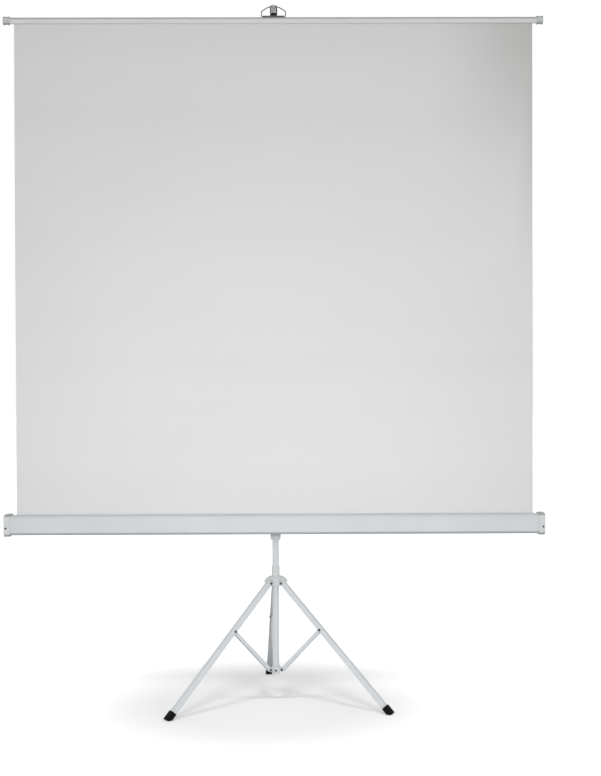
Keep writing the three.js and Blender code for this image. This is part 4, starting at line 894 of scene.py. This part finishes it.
def make_saddle():
    """The block on the slat that the bail turns in."""
    depth, corner, half_length, rise, pivot_bore = 9, 3, 31, 4.6, 1.6
    height = SLAT_RADIUS + rise
    outline = rounded_rectangle(depth, height, corner, (FABRIC_Y, SLAT_Z + height / 2))
    saddle = build("saddle", prism(outline, -half_length, half_length, "yz"))
    cut(saddle, bar(CAP_BORE, -BORE_REACH, BORE_REACH, "x", (0, FABRIC_Y, SLAT_Z)),
        bar(pivot_bore, -BORE_REACH, BORE_REACH, "x", (0, FABRIC_Y, BAIL_PIVOT_Z), HOLE_SIDES))
    dress(saddle, "slat", SADDLE_ZINC, "bail_saddle", edge=0.6)


def make_bail():
    """The bent wire that hangs the slat on the hook."""
    side, top = BAIL_WIDTH / 2, BAIL_TOP_WIDTH / 2
    half = [(side - BAIL_STUB, 0, 0), (side, 0, 0), (side, 0, BAIL_SIDE), (top, 0, BAIL_REACH)]
    corners = half + [(-x, y, z) for x, y, z in reversed(half)]
    lean = Matrix.Translation((0, FABRIC_Y, BAIL_PIVOT_Z)) @ Matrix.Rotation(-BAIL_LEAN, 4, "X")
    wire = sweep(rounded_path(corners, BAIL_BEND), BAIL_WIRE)
    dress(build("bail", wire, lean), "bail", BAIL_STEEL, "bail_wire")


def make_hook():
    """The plug in the pole's top, and the hook post on it, grooved for the bail."""
    plan_steps, insert_depth = 32, 22
    radius = HOOK_WIDTH / 2
    plan = arc((0, 0), radius, 0, 180, plan_steps)
    plan += arc((0, HOOK_FRONT + radius), radius, 180, 360, plan_steps)
    plug = build("pole_plug", prism(plan, PLUG_FOOT, PLUG_FOOT + PLUG_HEIGHT))
    join(plug, bar(POLE_BORE - GAP, POLE_TOP - insert_depth, PLUG_FOOT + OVERRUN))
    dress(plug, "pole", GLOSSY_BLACK, "pole_top_plug", edge=0.9)

    corner, corner_steps, groove_steps = 5, 10, 12
    seat_width, above, half_cut, cut_front, cut_back = 2.4, 8, 30, -60, 40
    wire_path = BAIL_REACH - BAIL_WIRE - GAP
    seat = FABRIC_Y + BAIL_REACH * math.sin(BAIL_LEAN) + seat_width
    wire_z = BAIL_PIVOT_Z + BAIL_REACH * math.cos(BAIL_LEAN)
    crest = HOOK_FRONT + HOOK_CREST
    crest_angle = math.degrees(math.acos((crest - FABRIC_Y) / wire_path))
    back_angle = math.degrees(math.acos((seat - FABRIC_Y) / wire_path))
    crest_z = BAIL_PIVOT_Z + wire_path * math.sin(math.radians(crest_angle))
    post = build("hook_post", prism(plan, PLUG_FOOT + PLUG_HEIGHT + GAP, crest_z))
    for sign, start in ((-1, 180), (1, 0)):
        inside, outside = sign * (radius - corner), sign * (radius + corner)
        low, high = crest_z - corner, crest_z + corner
        rounding = arc((inside, low), corner, start, 90, corner_steps)
        waste = [*rounding, (inside, high), (outside, high), (outside, low)]
        cut(post, prism(waste, cut_front, cut_back, "xz"))
    wire_arc = arc((FABRIC_Y, BAIL_PIVOT_Z), wire_path, crest_angle, back_angle, groove_steps)
    groove = [(crest, crest_z + above), *wire_arc, (seat, wire_z), (HOOK_WIDTH, wire_z),
              (HOOK_WIDTH, crest_z + above)]
    cut(post, prism(groove, -half_cut, half_cut, "yz"))
    dress(post, "pole", HOOK_ZINC, "pole_hook", edge=0.5)


make_mast()
make_spider()
make_crown()
for side, azimuth in LEG_PLACES.items():
    make_leg(side, azimuth)
make_carriage()
make_case()
make_fabric()
make_roll()
make_slat()
make_saddle()
make_bail()
make_hook()

INNER_FINISHES = {
    "roller_tube": ZINC, "roller_plug_left": PLASTIC, "roller_plug_right": PLASTIC,
    "roller_spring": DARK_STEEL, "spring_arbor": ZINC, "roller_gudgeon": ZINC,
    "swivel_bolt": DARK_STEEL, "pole_foot_plug": GLOSSY_BLACK,
}
for node, material in INNER_FINISHES.items():
    inner_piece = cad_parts[node]
    inner_piece.data.materials.clear()
    inner_piece.data.materials.append(material)


# Floor, light and camera, in metres


def seen_directly(tree):
    """1 for camera, glossy and transmission rays, 0 for the rest."""
    path = tree.nodes.new("ShaderNodeLightPath")
    total = path.outputs["Is Camera Ray"]
    for name in ("Is Glossy Ray", "Is Transmission Ray"):
        node = tree.nodes.new("ShaderNodeMath")
        node.operation = "MAXIMUM"
        tree.links.new(total, node.inputs[0])
        tree.links.new(path.outputs[name], node.inputs[1])
        total = node.outputs["Value"]
    return total


def make_floor():
    """A pale floor that is white to the camera away from the tripod where nothing shades it; round the
    tripod its glow is lower, a painted pool of shade.
    """
    reach, drop, grey = 30, 0.0004, (0.5, 0.5, 0.5, 1)
    shade_middle = (-0.03, MAST_Y - 0.07, 0)
    shade_radii, shade_glow = (0.22, 0.94), (0.24, 1.0)
    mesh = bpy.data.meshes.new("floor")
    corners = [(-reach, -reach), (reach, -reach), (reach, reach), (-reach, reach)]
    mesh.from_pydata([(x, y, -drop) for x, y in corners], [], [(0, 1, 2, 3)])
    floor = bpy.data.objects.new("floor", mesh)
    bpy.context.scene.collection.objects.link(floor)
    material = bpy.data.materials.new("floor")
    material.use_nodes = True
    tree = material.node_tree
    tree.nodes.clear()
    diffuse = tree.nodes.new("ShaderNodeBsdfDiffuse")
    diffuse.inputs["Color"].default_value = grey
    geometry = tree.nodes.new("ShaderNodeNewGeometry")
    distance = tree.nodes.new("ShaderNodeVectorMath")
    distance.operation = "DISTANCE"
    distance.inputs[1].default_value = shade_middle
    tree.links.new(geometry.outputs["Position"], distance.inputs[0])
    # Painted shade: the floor's glow to the camera drops towards the tripod, leaving a grey pool round its
    # feet.
    painted_pool = map_range(tree, distance.outputs["Value"], shade_radii, shade_glow, "SMOOTHSTEP")
    glow = tree.nodes.new("ShaderNodeEmission")
    tree.links.new(painted_pool, glow.inputs["Strength"])
    dark = tree.nodes.new("ShaderNodeEmission")
    dark.inputs["Strength"].default_value = 0
    lift = tree.nodes.new("ShaderNodeMixShader")
    add = tree.nodes.new("ShaderNodeAddShader")
    out = tree.nodes.new("ShaderNodeOutputMaterial")
    tree.links.new(seen_directly(tree), lift.inputs["Fac"])
    tree.links.new(dark.outputs[0], lift.inputs[1])
    tree.links.new(glow.outputs[0], lift.inputs[2])
    tree.links.new(diffuse.outputs[0], add.inputs[0])
    tree.links.new(lift.outputs[0], add.inputs[1])
    tree.links.new(add.outputs[0], out.inputs["Surface"])
    mesh.materials.append(material)
    return floor


def make_world():
    """Soft light round the object, brightest from the walls, and white to the camera."""
    rise, strength = (0.0, 0.9), (1.27, 0.35)
    world = bpy.data.worlds.new("studio")
    bpy.context.scene.world = world
    world.use_nodes = True
    tree = world.node_tree
    background = tree.nodes["Background"]
    background.inputs["Color"].default_value = (0.98, 0.99, 1, 1)
    white = tree.nodes.new("ShaderNodeBackground")
    white.inputs["Color"].default_value = (1, 1, 1, 1)
    direction = tree.nodes.new("ShaderNodeSeparateXYZ")
    tree.links.new(tree.nodes.new("ShaderNodeTexCoord").outputs["Generated"], direction.inputs[0])
    level = map_range(tree, direction.outputs["Z"], rise, strength)
    tree.links.new(level, background.inputs["Strength"])
    mix = tree.nodes.new("ShaderNodeMixShader")
    tree.links.new(seen_directly(tree), mix.inputs["Fac"])
    tree.links.new(background.outputs[0], mix.inputs[1])
    tree.links.new(white.outputs[0], mix.inputs[2])
    tree.links.new(mix.outputs[0], tree.nodes["World Output"].inputs["Surface"])


def area_light(name, eye, target, size, power, spread):
    """A softbox, its power in watts and its spread in degrees."""
    data = bpy.data.lights.new(name, "AREA")
    data.shape = "RECTANGLE"
    data.size, data.size_y = size
    data.energy = power
    data.spread = math.radians(spread)
    lamp = bpy.data.objects.new(name, data)
    lamp.location = eye
    lamp.rotation_euler = (Vector(target) - Vector(eye)).to_track_quat("-Z", "Y").to_euler()
    bpy.context.scene.collection.objects.link(lamp)
    return lamp


def make_lights(floor):
    """Two soft lights from the front, and two from above that draw the shadows on the floor."""
    lit_floor = bpy.data.collections.new("lit_floor")
    lit_floor.objects.link(floor)
    for side, sign in (("left", -1), ("right", 1)):
        area_light(f"key_{side}", eye=(sign * 1.1, -3.0, 1.05), target=(sign * 0.1, MAST_Y, 0.8),
                   size=(0.8, 0.6), power=3.2, spread=75)
        lamp = area_light(f"shadow_{side}", eye=(sign * 0.6, -1.5, 2.4), target=(0, MAST_Y, 0.15),
                          size=(0.5, 0.5), power=2.8, spread=60)
        lamp.light_linking.receiver_collection = lit_floor


def make_camera():
    """The photograph's view: lengths in pixels of its image, turns in radians, the eye in metres."""
    image_width, image_height, focal_length = 601, 776, 1306
    axis_x, axis_y = 319.2, 390.6
    sensor, near, far = 36, 0.05, 200
    eye = Vector((0.105, MAST_Y - 3.829, 0.953))
    yaw, pitch, roll = 0.0064, -0.0105, -0.0032
    forward = Vector((math.sin(yaw) * math.cos(pitch), math.cos(yaw) * math.cos(pitch), math.sin(pitch)))
    level = Vector((math.cos(yaw), -math.sin(yaw), 0))
    rise = level.cross(forward)
    right = level * math.cos(roll) + rise * math.sin(roll)
    up = right.cross(forward)
    data = bpy.data.cameras.new("camera")
    data.sensor_width = sensor
    data.lens = focal_length / image_height * sensor
    data.shift_x = (image_width / 2 - axis_x) / image_height
    data.shift_y = (axis_y - image_height / 2) / image_height
    data.clip_start = near
    data.clip_end = far
    camera = bpy.data.objects.new("camera", data)
    turn = Matrix((right, up, -forward)).transposed().to_4x4()
    camera.matrix_world = Matrix.Translation(eye) @ turn
    bpy.context.scene.collection.objects.link(camera)
    bpy.context.scene.camera = camera


make_world()
make_lights(make_floor())
make_camera()
bpy.context.scene.view_settings.view_transform = "Standard"
